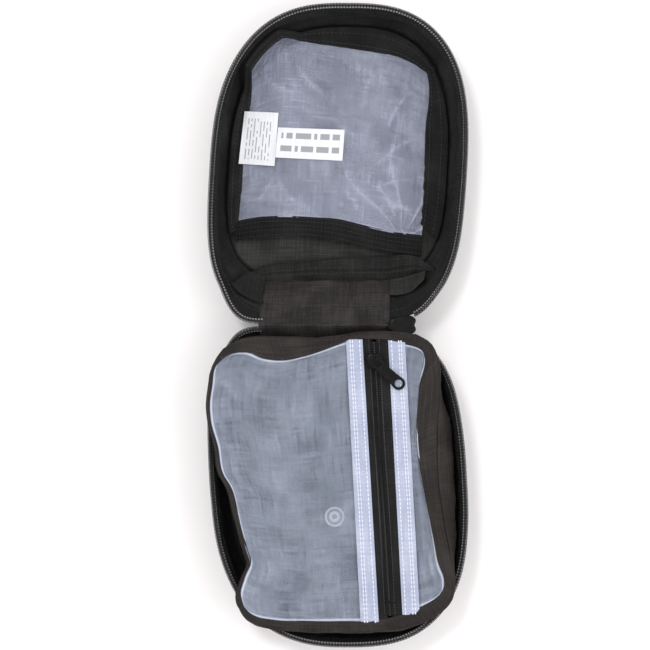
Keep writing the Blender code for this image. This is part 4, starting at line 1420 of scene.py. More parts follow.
@dataclass
class LidPocket:
    """The lid's flat mesh pocket: bound border, sheer cloth, elastic mouth, two labels, hem and folds."""

    maker: Maker
    cloth_height: float = 4.75
    cloth_rise: float = 6.0
    cloth_thickness: float = 0.3
    elastic_thickness: float = 1.0
    label_thickness: float = 0.25
    centre: Pair = (-2.0, 108.0)

    def edges(self, count: int, rows: int) -> tuple[Array, Array, Array, Array]:
        """The cloth's four edges as (u, v, z): at the elastic, far, left and right."""
        near = through([(-58.3, 60.2), (-50.9, 61.7), (-31, 63.2), (-13, 62.3), (3, 61), (14, 58.4), (32, 54.3),
                       (51.2, 52)], count)
        far = through(
            [(-55, 161), (-50, 165.2), (-42, 167.6), (-33, 168.8), (-14, 166.8), (2.6, 164.5), (18.5, 162), (33, 159),
             (42.6, 154.6), (50.6, 149.2)], count)
        left = through([(-58.3, 60.2), (-57.6, 80), (-58, 95.8), (-56.4, 112), (-55.6, 129), (-55.2, 148.6), (-55, 161)], rows)
        right = through([(51.2, 52), (52, 64), (52.5, 86.9), (52.4, 101), (52, 118), (52.8, 131.6), (52.4, 141),
                        (50.6, 149.2)], rows)
        near, far, left, right = (self.on_wall(edge, 5.6) for edge in (near, far, left, right))
        return near, far, left, right

    def on_wall(self, flat: Array, room: float) -> Array:
        """Adds z to (u, v): where a point reaches past the floor, less room, it climbs the wall, 3.2 mm for each mm.

        A point that reaches over 4.5 mm past it is drawn in along its spoke from the pocket's middle.
        """
        ring = turn(-90, 270, 721)
        limit = SHELL.outline(5.0).inset(ring, room)
        away = flat - self.centre
        angle = np.arctan2(away[:, 1], away[:, 0])
        radius = np.maximum(np.linalg.norm(away, axis=1), 1e-6)
        floor = np.linalg.norm(by_angle(limit, self.centre, angle) - self.centre, axis=1)
        over = np.clip(radius - floor, 0.0, 4.5)
        drawn = self.centre + away * (np.minimum(radius, floor + 4.5) / radius)[:, None]
        return np.column_stack([drawn, self.cloth_height + 3.2 * over * smooth(over / 3 + 0.3)])

    def cloth_points(self) -> tuple[Array, Array]:
        """The sheer cloth's grid in (u, v, z), and how creased each point is, which its finish shows as closer cover
        and, on the crease ridges, a painted highlight.

        A Coons patch between the edges, raised by cloth_rise (1 - s^2)(1 - t^2) with t from the mouth, plus
        sharp random creases, creases that radiate from the mouth's right end, and gathers at the seams.
        """
        rows, columns = 230, 230
        patch = coons(*(edge[:, :2] for edge in self.edges(columns, rows)))
        patch = self.on_wall(patch.reshape(-1, 2), 5.6).reshape(rows, columns, 3)
        s = np.linspace(-1, 1, columns)[None, :]
        t = np.linspace(0, 1, rows)[:, None]
        u, v = patch[..., 0], patch[..., 1]
        inner = smooth((1 - np.abs(s)) / 0.10) * smooth((1 - t) / 0.08)
        mouth = 1 - smooth(t / 0.08)
        lift = self.cloth_rise * np.clip(1 - s**2, 0, 1) ** 0.8 * (1 - t**2) ** 0.9
        soft = Ripples(41, 0.85, 22, 70, 10).at(u, v)
        crinkle = Ripples(43, 0.5, 22, 60, 7, sharp=True).at(u, v)
        fine = Ripples(47, 0.07, 5, 14, 9, sharp=True).at(u, v)
        away, angle = np.hypot(u - 40, v - 50), np.arctan2(v - 50, u - 40)
        fan = (1 - np.abs(np.sin(angle * 5.5 + 0.3 * np.sin(away / 9)))) ** 4 * np.exp(-away / 38) * smooth(away / 14)
        folds = self.folds(u, v)
        edge = (np.exp(-(1 - t) / 0.05) + 0.8 * np.exp(-t / 0.06)) * (1 - np.abs(s)) ** 0.2
        edge_side = np.exp(-(1 - np.abs(s)) / 0.06)
        gather = edge * Ripples(53, 0.5, 5, 14, 8, direction=0.0, spread=0.15).at(u, v)
        gather = gather + edge_side * Ripples(59, 0.4, 5, 16, 8, direction=math.pi / 2, spread=0.15).at(u, v)
        move = (soft + crinkle + fine + 2.0 * fan + folds) * (0.25 + 0.75 * inner)
        patch = patch.copy()
        patch[..., 2] += lift + np.maximum(move + gather, -0.35 - lift * 0.6) * (1 - 0.6 * mouth) + 0.3 * inner
        hem = np.exp(-(1 - np.abs(s)) / 0.010) + np.exp(-(1 - t) / 0.006) + np.exp(-t / 0.008)
        # crease ridges, which the net's finish paints pale as highlights and closes; the hems, where the cloth lies
        # doubled, are paler in their own right
        ridge_highlight_and_cover = np.clip(crinkle - 0.35, 0, 1) + 0.3 * np.clip(folds - 0.25, 0, 1) + 0.8 * fan + fine
        crease = np.clip(0.9 * ridge_highlight_and_cover + 0.5 * hem + 0.02, 0, 1)
        return patch, crease

    def folds(self, u: Array, v: Array) -> Array:
        """Long soft folds: each a ridge along a line from one point to another, tapering at its ends.

        Args:
            u: Places across the shell.
            v: Distance from the spine.

        Returns:
            One height for each place.
        """
        lines = (
            (-30, 158, -8, 128, 2.6, 1.1), (-8, 128, 12, 104, 2.2, 0.8), (20, 150, 8, 120, 2.4, 0.9),
            (44, 140, 22, 112, 2.2, 1.0), (48, 110, 16, 92, 2.4, 1.0), (50, 84, 12, 80, 2.0, 0.8),
            (36, 56, 24, 88, 2.2, 1.3), (46, 62, 30, 74, 1.8, 1.2), (12, 62, 4, 84, 2.2, 0.8),
            (-24, 64, -34, 88, 2.2, 0.7), (-48, 150, -28, 132, 2.0, 0.9), (-52, 72, -36, 84, 2.0, 0.8),
        )
        total = np.zeros_like(u)
        for off, along, width, height in beside_lines(u, v, lines, 2.0, 5):
            ridge = np.exp(-np.abs(off) / width) - 0.35 * np.exp(-((off - 2.4 * width) / width) ** 2)
            total = total + height * ridge * smooth((0.5 - np.abs(along - 0.5)) / 0.35 + 0.1)
        return total

    def cloth(self) -> None:
        """The sheer cloth, with its creases kept as the attribute that its finish reads for cover and a painted
        highlight.
        """
        grid, crease = self.cloth_points()
        points = laid(grid, grid[..., 2], Side.LID)
        piece = sheet("lid_sheer_cloth", points, self.cloth_thickness)
        write_attribute(piece, "fold", np.concatenate([crease.ravel(), crease.ravel()]))
        self.maker.dress(piece, Look.NET_LID, "lid", ("lid_pocket_mesh",))
        declare(points)

    def border(self) -> None:
        """The ribbed border between the cloth and the wall, over rings between two outlines, and its stitches."""
        angles = turn(-43, 223, 420)
        near, far, left, right = self.edges(120, 120)
        line = np.concatenate([right[:-1], far[::-1][:-1], left[::-1]])
        inner = by_angle(line, self.centre, angles)
        outline = SHELL.outline(5.0).inset(turn(-90, 270, 721), 2.9)
        outer = by_angle(outline, self.centre, angles)
        spoke = inner[:, :2] - self.centre
        inner_radius = np.linalg.norm(spoke, axis=1, keepdims=True)
        outer_radius = np.linalg.norm(outer - self.centre, axis=1, keepdims=True)
        outer_radius = np.maximum(outer_radius, inner_radius + 3.0)
        climb = outer_radius[:, 0] - np.linalg.norm(outer - self.centre, axis=1)
        outer = self.centre + spoke / inner_radius * outer_radius
        away = outer - inner[:, :2]
        wide = np.linalg.norm(away, axis=1, keepdims=True)
        lap = inner[:, :2] - away / wide * 2.2
        shares = np.concatenate([[0.0, 0.06, 0.12], np.linspace(0.2, 1.0, 12)])
        flat = lap[None] + (outer - lap)[None] * shares[:, None, None]
        thick = 0.9 * np.sqrt(np.clip(1 - ((shares - 0.5) / 0.5) ** 8, 0, 1))
        sway = Ripples(61, 0.3, 12, 44, 9).at(flat[..., 0], flat[..., 1])
        base = inner[:, 2][None] * (1 - shares[:, None]) + (5.2 + 3.4 * climb)[None] * shares[:, None]
        z = base + 0.55 + thick[:, None] * 0.5 + sway * np.sin(math.pi * shares)[:, None] + 0.9 * shares[:, None] ** 3
        points = laid(flat, z, Side.LID)
        self.maker.lay("lid_ribbed_border", points, 0.8, Look.BINDING, "lid", ("lid_pocket_border",), "laid", ["lid_soft_wall"])
        rows = [laid(flat[k], z[k] + 0.12, Side.LID) for k in (3, 10)]
        self.maker.sew("lid_border_stitches", rows, "lid")

    def elastic(self) -> None:
        """The elastic that holds the pocket's mouth: a ribbed band on the cloth's near edge, with three cords."""
        near = self.edges(160, 40)[0]
        low = through([(-58.8, 49.6), (-39, 51.6), (-17.7, 52.1), (3.9, 49.2), (25.6, 44.3), (51.4, 40.6)], 160)
        s = np.linspace(-1, 1, 160)
        t = np.linspace(0, 1, 25)[:, None]
        top = near[:, :2] + (near[:, :2] - low) * 0.06
        flat = low[None] * (1 - t)[..., None] + top[None] * t[..., None]
        lift = self.cloth_rise * np.clip(1 - s**2, 0, 1) ** 0.8
        cords = 0.42 * sum(bump(t, middle, 0.055) for middle in (0.2, 0.42, 0.64))
        ends = 1 - 0.5 * (s**2) ** 6
        sag = -1.2 * (1 - t) ** 2 * np.clip(1 - s**2, 0, 1)
        wave = Ripples(67, 0.22, 9, 34, 8).at(flat[..., 0], flat[..., 1])
        z = self.cloth_height + 0.9 + lift + cords * ends + wave + sag
        points = laid(flat, z, Side.LID)
        self.maker.lay("lid_ribbed_elastic", points, self.elastic_thickness, Look.ELASTIC, "lid",
                       ("lid_pocket_elastic",), "stretched", ["lid_sheer_cloth"])
        rows = [laid(flat[k], z[k] + 0.15, Side.LID) for k in (2, 8, 13, 18, 22)]
        self.maker.sew("lid_elastic_stitches", rows, "lid", 2.2, 1.5, 0.36)

    def label(self, name: str, look: Look, corners: list[Pair], replaces: str, above: float) -> None:
        """A label that lies on the cloth: a patch between its corners, raised to clear the cloth below it.

        Args:
            name: The piece's name.
            look: Its finish.
            corners: Near left, near right, far left and far right.
            replaces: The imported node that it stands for.
            above: How far it lies over the cloth.
        """
        grid, _ = self.cloth_points()
        corner = np.asarray(corners, float)
        s, t = np.linspace(0, 1, 40)[None, :, None], np.linspace(0, 1, 34)[:, None, None]
        flat = (1 - t) * ((1 - s) * corner[0] + s * corner[1]) + t * ((1 - s) * corner[2] + s * corner[3])
        near = ((grid[None, :, :, 0] - flat[..., 0].reshape(-1, 1, 1)) ** 2)[:, ::6, ::6]
        near = near + ((grid[None, :, :, 1] - flat[..., 1].reshape(-1, 1, 1)) ** 2)[:, ::6, ::6]
        weight = np.exp(-near / 40)
        height = (weight * grid[None, ::6, ::6, 2]).sum(axis=(1, 2)) / weight.sum(axis=(1, 2))
        curl = 0.5 * smooth((np.abs(2 * s[..., 0] - 1) - 0.8) / 0.2) * np.sin(t[..., 0] * 5)
        z = height.reshape(flat.shape[:2]) + above + curl
        points = laid(flat, z, Side.LID)
        self.maker.lay(name, points, self.label_thickness, look, "lid", (replaces,), "laid", ["lid_sheer_cloth"])

    def hem(self) -> None:
        """The folded hem at the spine's seam: a thick band between two lines, drooping folds at each end."""
        top = through([(-58, 22), (-50, 28.5), (-44, 33.5), (-36, 35.6), (-27, 36.8), (-12, 38.6), (10, 39.8), (31, 40),
                       (41, 41.2), (48, 40.4), (54, 36.8), (59, 33.4)], 170)
        low = through([(-58.5, 19.5), (-51, 22), (-42, 24.6), (-36, 25.4), (-20, 25.6), (0, 25.9), (20, 25.9), (33, 26),
                       (42, 27.5), (50, 30), (56, 31), (59.5, 31.2)], 170)
        t = np.linspace(0, 1, 22)[:, None]
        flat = low[None] * (1 - t)[..., None] + top[None] * t[..., None]
        u = flat[..., 0]
        crown = np.clip(1 - (2 * t - 1) ** 4, 0, 1)
        seam = -0.7 * bump(t, 0.42, 0.05) * smooth((u + 36) / 6)
        second = -0.35 * bump(t, 0.75, 0.04) * smooth((u + 30) / 8) * smooth((44 - u) / 6)
        step = 0.9 * smooth((u + 22) / 1.5) * smooth((42 - u) / 2.0)
        pinch = 1.6 * bump(u, -42, 5) * (1 - t) + 1.8 * bump(u, 46, 7) * t
        wave = Ripples(71, 0.35, 8, 30, 10).at(u, flat[..., 1])
        rim = smooth((np.abs(u) - 48) / 12)
        z = 6.6 + 1.5 * crown + seam + second + step * crown + pinch + wave + 9 * rim**1.5
        points = place(u, flat[..., 1], z, Side.LID)
        self.maker.lay("lid_folded_hem", points, 1.3, Look.HEM, "lid", ("lid_hem_band",), "folded", ["lid_soft_wall"])
        rows = [place(u[k, 24:150], flat[k, 24:150, 1], z[k, 24:150] + 0.15, Side.LID) for k in (7, 12)]
        self.maker.sew("lid_hem_stitches", rows, "lid", 2.4, 1.7, 0.4)

    def corner_folds(self) -> None:
        """The loose cloth beside the hem: a dark flap at its left end, and a pale pucker at its right."""
        near = np.array([(-39.5, 12.5, 22.5), (-50, 17, 25), (-58, 24, 28)], float)
        far = np.array([(-39, 27, 9), (-46, 31, 10.5), (-55, 25, 25)], float)
        flap = self.ruled(near, far, 40, 24, Ripples(73, 0.5, 5, 18, 8))
        piece = sheet("lid_left_flap", flap, 0.7)
        self.maker.dress(piece, Look.HEM, "lid")
        near = np.array([(34.2, 17.5, 17.5), (41, 17.8, 18), (47, 19.8, 18.5), (53.5, 27, 20)], float)
        far = np.array([(34.2, 27, 8.6), (41, 27.8, 9), (47, 29.5, 9), (54, 31.5, 15)], float)
        pucker = self.ruled(near, far, 44, 26, Ripples(79, 0.6, 5, 16, 8))
        piece = sheet("lid_right_pucker", pucker, 0.5)
        self.maker.dress(piece, Look.LINING, "lid")

    def ruled(self, near: Array, far: Array, columns: int, rows: int, ripples: Ripples) -> Array:
        """World points ruled between two smooth (u, v, z) curves, with ripples that fade at the edges.

        Args:
            near: The first curve's points.
            far: The second curve's points.
            columns: Points along each curve.
            rows: Points between them.
            ripples: The cloth's unevenness.

        Returns:
            A grid of world points.
        """
        a, b = through([tuple(p) for p in near], columns), through([tuple(p) for p in far], columns)
        t = np.linspace(0, 1, rows)[:, None, None]
        grid = a[None] * (1 - t) + b[None] * t
        fade = np.sin(math.pi * t[..., 0]) ** 0.5
        z = grid[..., 2] + ripples.at(grid[..., 0], grid[..., 1]) * fade + 1.2 * np.sin(math.pi * t[..., 0])
        return laid(grid, z, Side.LID)

    def build(self) -> None:
        """Makes every piece of the lid's pocket."""
        self.cloth()
        self.border()
        self.elastic()
        care = [(-58.6, 94.6), (-37.4, 93.0), (-56.9, 125.3), (-36.9, 124.2)]
        self.label("lid_care_label", Look.CARE, care, "care_label", 1.5)
        batch = [(-37.3, 98.1), (2.2, 95.8), (-36.7, 115.7), (2.4, 114.0)]
        self.label("lid_batch_label", Look.BATCH, batch, "batch_label", 1.0)
        self.hem()
        self.corner_folds()


def write_attribute(piece: Piece, name: str, values: Array) -> None:
    """Stores one value for each vertex as a float attribute that a finish reads."""
    layer = piece.data.attributes.new(name, "FLOAT", "POINT")
    layer.data.foreach_set("value", values.astype(np.float32))


# ---------------------------------------------------------------- the spine and the main zip's slider


@dataclass
class Spine:
    """The cloth hinge between the shells: one sheet over the fold, with a bound strip down each side."""

    maker: Maker
    lid_end: float = 27.5
    base_end: float = 25.0
    slope: float = 26.0
    fold_height: float = 36.0
    start: Triple = (0.0, -0.002, 0.035)
    end: Triple = (0.0, 0.002, 0.035)

    def height(self, y: Array) -> Array:
        """The spine's profile: it falls from the fold along both near walls, z = h (1 - (|y|/slope)^0.77)."""
        away = (np.sqrt(y * y + 1.4) - math.sqrt(1.4)) / self.slope
        return self.fold_height - 34.4 * np.clip(away, 0, 1) ** 0.77 + 3.6 * smooth(np.abs(y) / 20)

    def strip(self, name: str, left: Array, right: Array, lift: float, thickness: float, columns: int, look: Look,
              replaces: tuple[str, ...], ripples: Ripples) -> Array:
        """A sheet over the fold between two side lines.

        Args:
            name: The piece's name.
            left: u of the left side at the lid's end, the fold and the base's end.
            right: u of the right side.
            lift: Height over the spine's profile.
            thickness: Of the cloth.
            columns: Points across.
            look: Its finish.
            replaces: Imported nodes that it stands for.
            ripples: Its wrinkles.

        Returns:
            The cloth's grid of world points.
        """
        y = np.linspace(self.lid_end, -self.base_end, 120)
        known = np.array([-self.base_end, 0.0, self.lid_end])
        a, b = np.interp(y, known, np.array(left)[::-1]), np.interp(y, known, np.array(right)[::-1])
        s = np.linspace(0, 1, columns)[None]
        u = a[:, None] * (1 - s) + b[:, None] * s
        fade = np.sin(math.pi * np.clip(s, 0.02, 0.98)) ** 0.4
        wave = ripples.at(u, y[:, None]) * fade
        z = self.height(y)[:, None] + lift + wave
        x = u + SKEW * np.abs(y)[:, None] - MIDDLE
        points = np.stack(np.broadcast_arrays(x, y[:, None], z), axis=-1) * MM
        piece = sheet(name, points, thickness)
        self.maker.dress(piece, look, None, replaces)
        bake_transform(piece)
        declare(points)
        return points

    def build(self) -> None:
        """Makes the spine's sheet, its side strips and their stitches."""
        stands = ("base_spine_panel", "lid_spine_panel", "hinge_fold")
        folds = Ripples(83, 1.15, 8, 30, 9, direction=0.15, spread=0.5)
        self.strip("spine_cloth", (-40, -39.5, -39), (33.6, 34, 35), 0.4, 0.6, 110, Look.SPINE, stands, folds)
        flat = Ripples(89, 0.2, 10, 30, 6)
        lines = []
        for name, left, right in (
            ("spine_strip_left", (-40.6, -40.2, -39.8), (-36.6, -36.2, -35.8)),
            ("spine_strip_right", (29.8, 30.2, 31), (34.2, 34.6, 35.6)),
        ):
            points = self.strip(name, left, right, 1.25, 0.6, 12, Look.SPINE, (), flat)
            lines += [points[:, k] + np.array([0, 0, 0.1 * MM]) for k in (2, 9)]
        stitches = stitch_row("spine_stitches", lines, UP, 2.4, 1.7, 0.38)
        self.maker.dress(stitches, Look.THREAD, None)
        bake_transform(stitches)


def plate(outline: Array, levels: list[Pair], middle_out: int = 5) -> Array:
    """A closed flat body from a flat outline: levels give (inset as a share of the size, height).

    Args:
        outline: A closed line of (x, y), its last point the same as its first, about the origin.
        levels: From the underside's edge up to the top's edge.
        middle_out: Rings between each face's middle and its edge.

    Returns:
        A grid whose first and last rows are the middles of the two faces, in millimetres.
    """
    rows = []
    first, last = levels[0], levels[-1]
    for share in np.linspace(0, 1, middle_out, endpoint=False):
        rows.append(np.column_stack([outline * share * first[0], np.full(len(outline), first[1])]))
    for share, z in levels:
        rows.append(np.column_stack([outline * share, np.full(len(outline), z)]))
    for share in np.linspace(1, 0, middle_out + 1)[1:]:
        rows.append(np.column_stack([outline * share * last[0], np.full(len(outline), last[1])]))
    return np.stack(rows)


def moved(points: Array, matrix: Matrix) -> Array:
    """Points in millimetres taken by a matrix in metres."""
    turned = np.array(matrix.to_3x3(), float)
    return points * MM @ turned.T + np.array(matrix.translation, float)


def slider_outline(length: float, width: float, count: int = 97) -> Array:
    """The plan of a zip slider: a superellipse, narrowed to its closed end and notched at its nose.

    Args:
        length: Along the zip, in millimetres.
        width: Across it.
        count: Points to take.

    Returns:
        A closed line of (x, y).
    """
    a = np.linspace(0, 2 * math.pi, count)
    r = (np.abs(np.cos(a)) ** 3.4 + np.abs(np.sin(a)) ** 3.4) ** (-1 / 3.4)
    x, y = r * np.cos(a) * length / 2, r * np.sin(a) * width / 2
    waist = 0.80 + 0.20 * smooth((x / length + 0.5) / 0.75)
    nose = 0.07 * length * bump(y, 0.0, width * 0.14) * (x > 0)
    return np.column_stack([x - nose, y * waist])


@dataclass(frozen=True)
class SliderSizes:
    """A slider's plan, its plates, the room for the coil between them, and its pull."""

    length: float
    width: float
    plate: float
    chain: float
    pull_length: float
    pull_width: float
    pull_thickness: float
    window: float
    hole: float


class Slider:
    """A zip slider: two rounded plates, side lips, a neck, an arched bail, and a flat pull."""

    def __init__(self, name: str, sizes: SliderSizes, maker: Maker) -> None:
        self.name, self.sizes, self.maker = name, sizes, maker

    def body(self, matrix: Matrix, body: str, replaces: tuple[str, ...]) -> None:
        """The two plates, the lips that hold the coil, and the neck between."""
        s = self.sizes
        outline = slider_outline(s.length, s.width)
        half, top = s.chain / 2, s.chain / 2 + s.plate
        batch = Batch()
        edge = [(0.95, half), (1.0, half + s.plate * 0.3), (1.0, half + s.plate * 0.6), (0.94, top - 0.05), (0.88, top)]
        crowned = plate(outline, edge, 8)
        radius = np.linalg.norm(crowned[..., :2], axis=-1)
        crowned[..., 2] += np.where(crowned[..., 2] > top - 0.02, 0.28 * (1 - (radius / radius.max()) ** 2), 0.0)
        batch.add(moved(crowned, matrix))
        under = plate(outline, [(0.92, -top), (1.0, -top + s.plate * 0.5), (0.96, -half)], 4)
        batch.add(moved(under, matrix))
        for way in (-1, 1):
            x = np.linspace(-0.40, 0.34, 30) * s.length
            y = way * (s.width / 2 - s.plate * 0.55) * np.interp(x / s.length, [-0.5, 0.2], [0.84, 1.0])
            line = np.column_stack([x, y, np.full(30, half - 0.25)])
            batch.add(moved(tube_grid(line, 0.55, UP, 8, 0.8), matrix))
        x = np.linspace(0.12, 0.44, 8) * s.length
        neck = np.column_stack([x, 0 * x, 0 * x])
        batch.add(moved(tube_grid(neck, half + 0.2, UP, 10, 0.35), matrix))
        piece = batch.build(self.name + "_plates")
        self.maker.dress(piece, Look.PAINT, body, replaces)

    def bail(self, matrix: Matrix, body: str, replaces: tuple[str, ...]) -> None:
        """The arch: a flattened wire that leaves the plate, crosses over the pull and comes down again.

        Args:
            matrix: Where the slider lies.
            body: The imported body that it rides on.
            replaces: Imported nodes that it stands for.
        """
        s = self.sizes
        top = s.chain / 2 + s.plate
        a = np.linspace(0, math.pi, 40)
        x = -2.6 * np.cos(a) * np.where(np.cos(a) > 0, 1.0, 0.9)
        z = top - 0.05 + 2.15 * np.sin(a) ** 0.55
        line = np.column_stack([x, 0 * x, z])
        grid = tube_grid(line, 0.46, np.array([0.0, 1.0, 0.0]), 10, 1.5)
        batch = Batch()
        batch.add(moved(grid, matrix))
        piece = batch.build(self.name + "_arch")
        self.maker.dress(piece, Look.PAINT, body, replaces)

    def pull(self, matrix: Matrix, body: str, replaces: tuple[str, ...], look: Look) -> None:
        """The pull: a flat curve with a window, a round end and a hole, given a rounded edge.

        Args:
            matrix: Where the pull's pivot lies.
            body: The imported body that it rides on.
            replaces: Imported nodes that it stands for.
            look: Its finish.
        """
        s = self.sizes
        curve = bpy.data.curves.new(self.name + "_pull", "CURVE")
        curve.dimensions, curve.fill_mode = "2D", "BOTH"
        bevel = min(0.28, s.pull_thickness * 0.3)
        curve.extrude, curve.bevel_depth, curve.bevel_resolution = (s.pull_thickness / 2 - bevel) * MM, bevel * MM, 3
        half, root = s.pull_width / 2 - bevel, 0.75
        a = np.linspace(-math.pi / 2, math.pi / 2, 33)
        end = np.column_stack([s.pull_length - half + half * np.cos(a), half * np.sin(a)])
        waist = [(s.pull_length * 0.62, -half * 0.86), (s.pull_length * 0.4, -half * 0.8), (root + s.window, -half * 0.9)]
        back = [(x, -y) for x, y in waist[::-1]]
        corner = [(-root, half * 0.7), (-root, -half * 0.7), (-root + 0.7, -half * 0.95)]
        outer = [*corner[1:], *waist[::-1], *[tuple(p) for p in end], *back[::-1], (-root + 0.7, half * 0.95), corner[0]]
        self.flat_line(curve, outer)
        w = s.window / 2
        far = root + s.window
        self.flat_line(curve, [(root, -w), (far - 0.6, -w), (far, -w + 0.6), (far, w - 0.6), (far - 0.6, w), (root, w)])
        if s.hole:
            a = np.linspace(0, 2 * math.pi, 40, endpoint=False)
            r = s.hole / 2
            self.flat_line(curve, [tuple(p) for p in np.column_stack([s.pull_length - half + r * np.cos(a), r * np.sin(a)])])
        shape = bpy.data.objects.new("pull_outline", curve)
        bpy.context.scene.collection.objects.link(shape)
        mesh = bpy.data.meshes.new_from_object(shape)
        bpy.data.objects.remove(shape)
        mesh.transform(matrix)
        work = bmesh.new()
        work.from_mesh(mesh)
        bmesh.ops.remove_doubles(work, verts=work.verts, dist=1e-6)
        bmesh.ops.recalc_face_normals(work, faces=work.faces)
        work.to_mesh(mesh)
        work.free()
        mesh.shade_smooth()
        mesh.set_sharp_from_angle(angle=math.radians(35))
        piece = bpy.data.objects.new(self.name + "_pull", mesh)
        bpy.context.scene.collection.objects.link(piece)
        self.maker.dress(piece, look, body, replaces)

    @staticmethod
    def flat_line(curve: bpy.types.Curve, corners: list[Pair]) -> None:
        """Adds one closed line of straight runs, in millimetres, to a flat curve."""
        spline = curve.splines.new("POLY")
        spline.points.add(len(corners) - 1)
        flat = np.zeros((len(corners), 4))
        flat[:, :2] = np.asarray(corners) * MM
        flat[:, 3] = 1
        spline.points.foreach_set("co", flat.ravel())
        spline.use_cyclic_u = True


def end_stop(maker: Maker, name: str, node: str, edge: float, step: float) -> None:
    """A zip's stop: a rounded block, |x|^4 + |y|^4 = 1 in plan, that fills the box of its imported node.

    Args:
        maker: Dresses it.
        name: The piece's name.
        node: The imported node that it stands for.
        edge: Share of its size that its top and bottom keep.
        step: Height of its rounded edge, in millimetres.
    """
    low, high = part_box(node)
    size = (high - low) / MM
    a = np.linspace(0, 2 * math.pi, 49)
    r = (np.abs(np.cos(a)) ** 4 + np.abs(np.sin(a)) ** 4) ** (-1 / 4)
    outline = np.column_stack([r * np.cos(a) * size.x / 2, r * np.sin(a) * size.y / 2])
    h = size.z / 2
    levels = [(edge, -h), (1.0, -h + step), (1.0, h - step), (edge, h)]
    stop = surface(name, moved(plate(outline, levels), Matrix.Translation((low + high) / 2)))
    maker.dress(stop, Look.PAINT, "base", (node,))


@dataclass
class MainZip:
    """The main zip's slider at the spine's right, with its pull hanging outside, and the zip's end stop."""

    maker: Maker

    def build(self) -> None:
        """Makes the slider upside down on the fold's line, and its stop."""
        low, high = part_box("main_slider_body")
        centre = (low + high) / 2
        over = Matrix.Translation(centre) @ Matrix.Rotation(math.pi, 4, "X")
        size = high - low
        fitted = SliderSizes(size.x / MM, size.y / MM, 1.2, size.z / MM - 2.4, 26.0, 8.0, 1.6, 3.0, 0.0)
        slider = Slider("main_slider", fitted, self.maker)
        slider.body(over, "main_slider", ("main_slider_body",))
        slider.bail(over, "main_slider", ("main_slider_bail",))
        low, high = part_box("main_pull_tab")
        pivot = Vector(((low.x + high.x) / 2, (low.y + high.y) / 2, high.z - 0.75 * MM))
        hang = Matrix.Translation(pivot) @ Matrix.Rotation(math.pi / 2, 4, "Y")
        slider.pull(hang, "main_pull", ("main_pull_tab",), Look.RUBBER)
        end_stop(self.maker, "main_zip_stop", "main_zip_end_stop", 0.8, 0.3)


# ---------------------------------------------------------------- the base's box pocket


CLOTH_EDGE = [
    (-62.6, 18.4), (-56, 15.6), (-47.9, 15), (-38.8, 18.4), (-26.1, 19.3), (-16.2, 17.3), (-4.9, 13.9), (5.1, 10.2),
    (12, 7.6), (25, 7.0), (35, 8.0), (42.8, 10.0), (48.5, 11.4), (52.6, 13.8), (54.2, 18.9), (53.2, 25), (50.8, 31),
    (48.8, 44.5), (46.8, 60), (46.8, 72), (48.6, 87.9), (50.9, 106.3), (53.3, 124.7), (54.9, 136.4), (57.4, 144),
    (57.2, 150), (54.4, 154.4), (47, 159.5), (32.3, 165.8), (17.6, 169.2), (-4, 169.8), (-25.9, 169.8), (-40.3, 169.2),
    (-53, 166.4), (-57.8, 163), (-60.2, 155.3), (-57.0, 144.2), (-53.2, 134.7), (-54.4, 130.2), (-57.5, 116.9),
    (-59.8, 104.1), (-62.0, 92.9), (-66.3, 84.6), (-68.2, 69), (-71.2, 55.1), (-71.3, 44.5), (-69.2, 34), (-67, 23.9),
    (-62.6, 18.4),
]  # where the box pocket's sheer cloth ends, as (u, v), from its near left corner round by the right


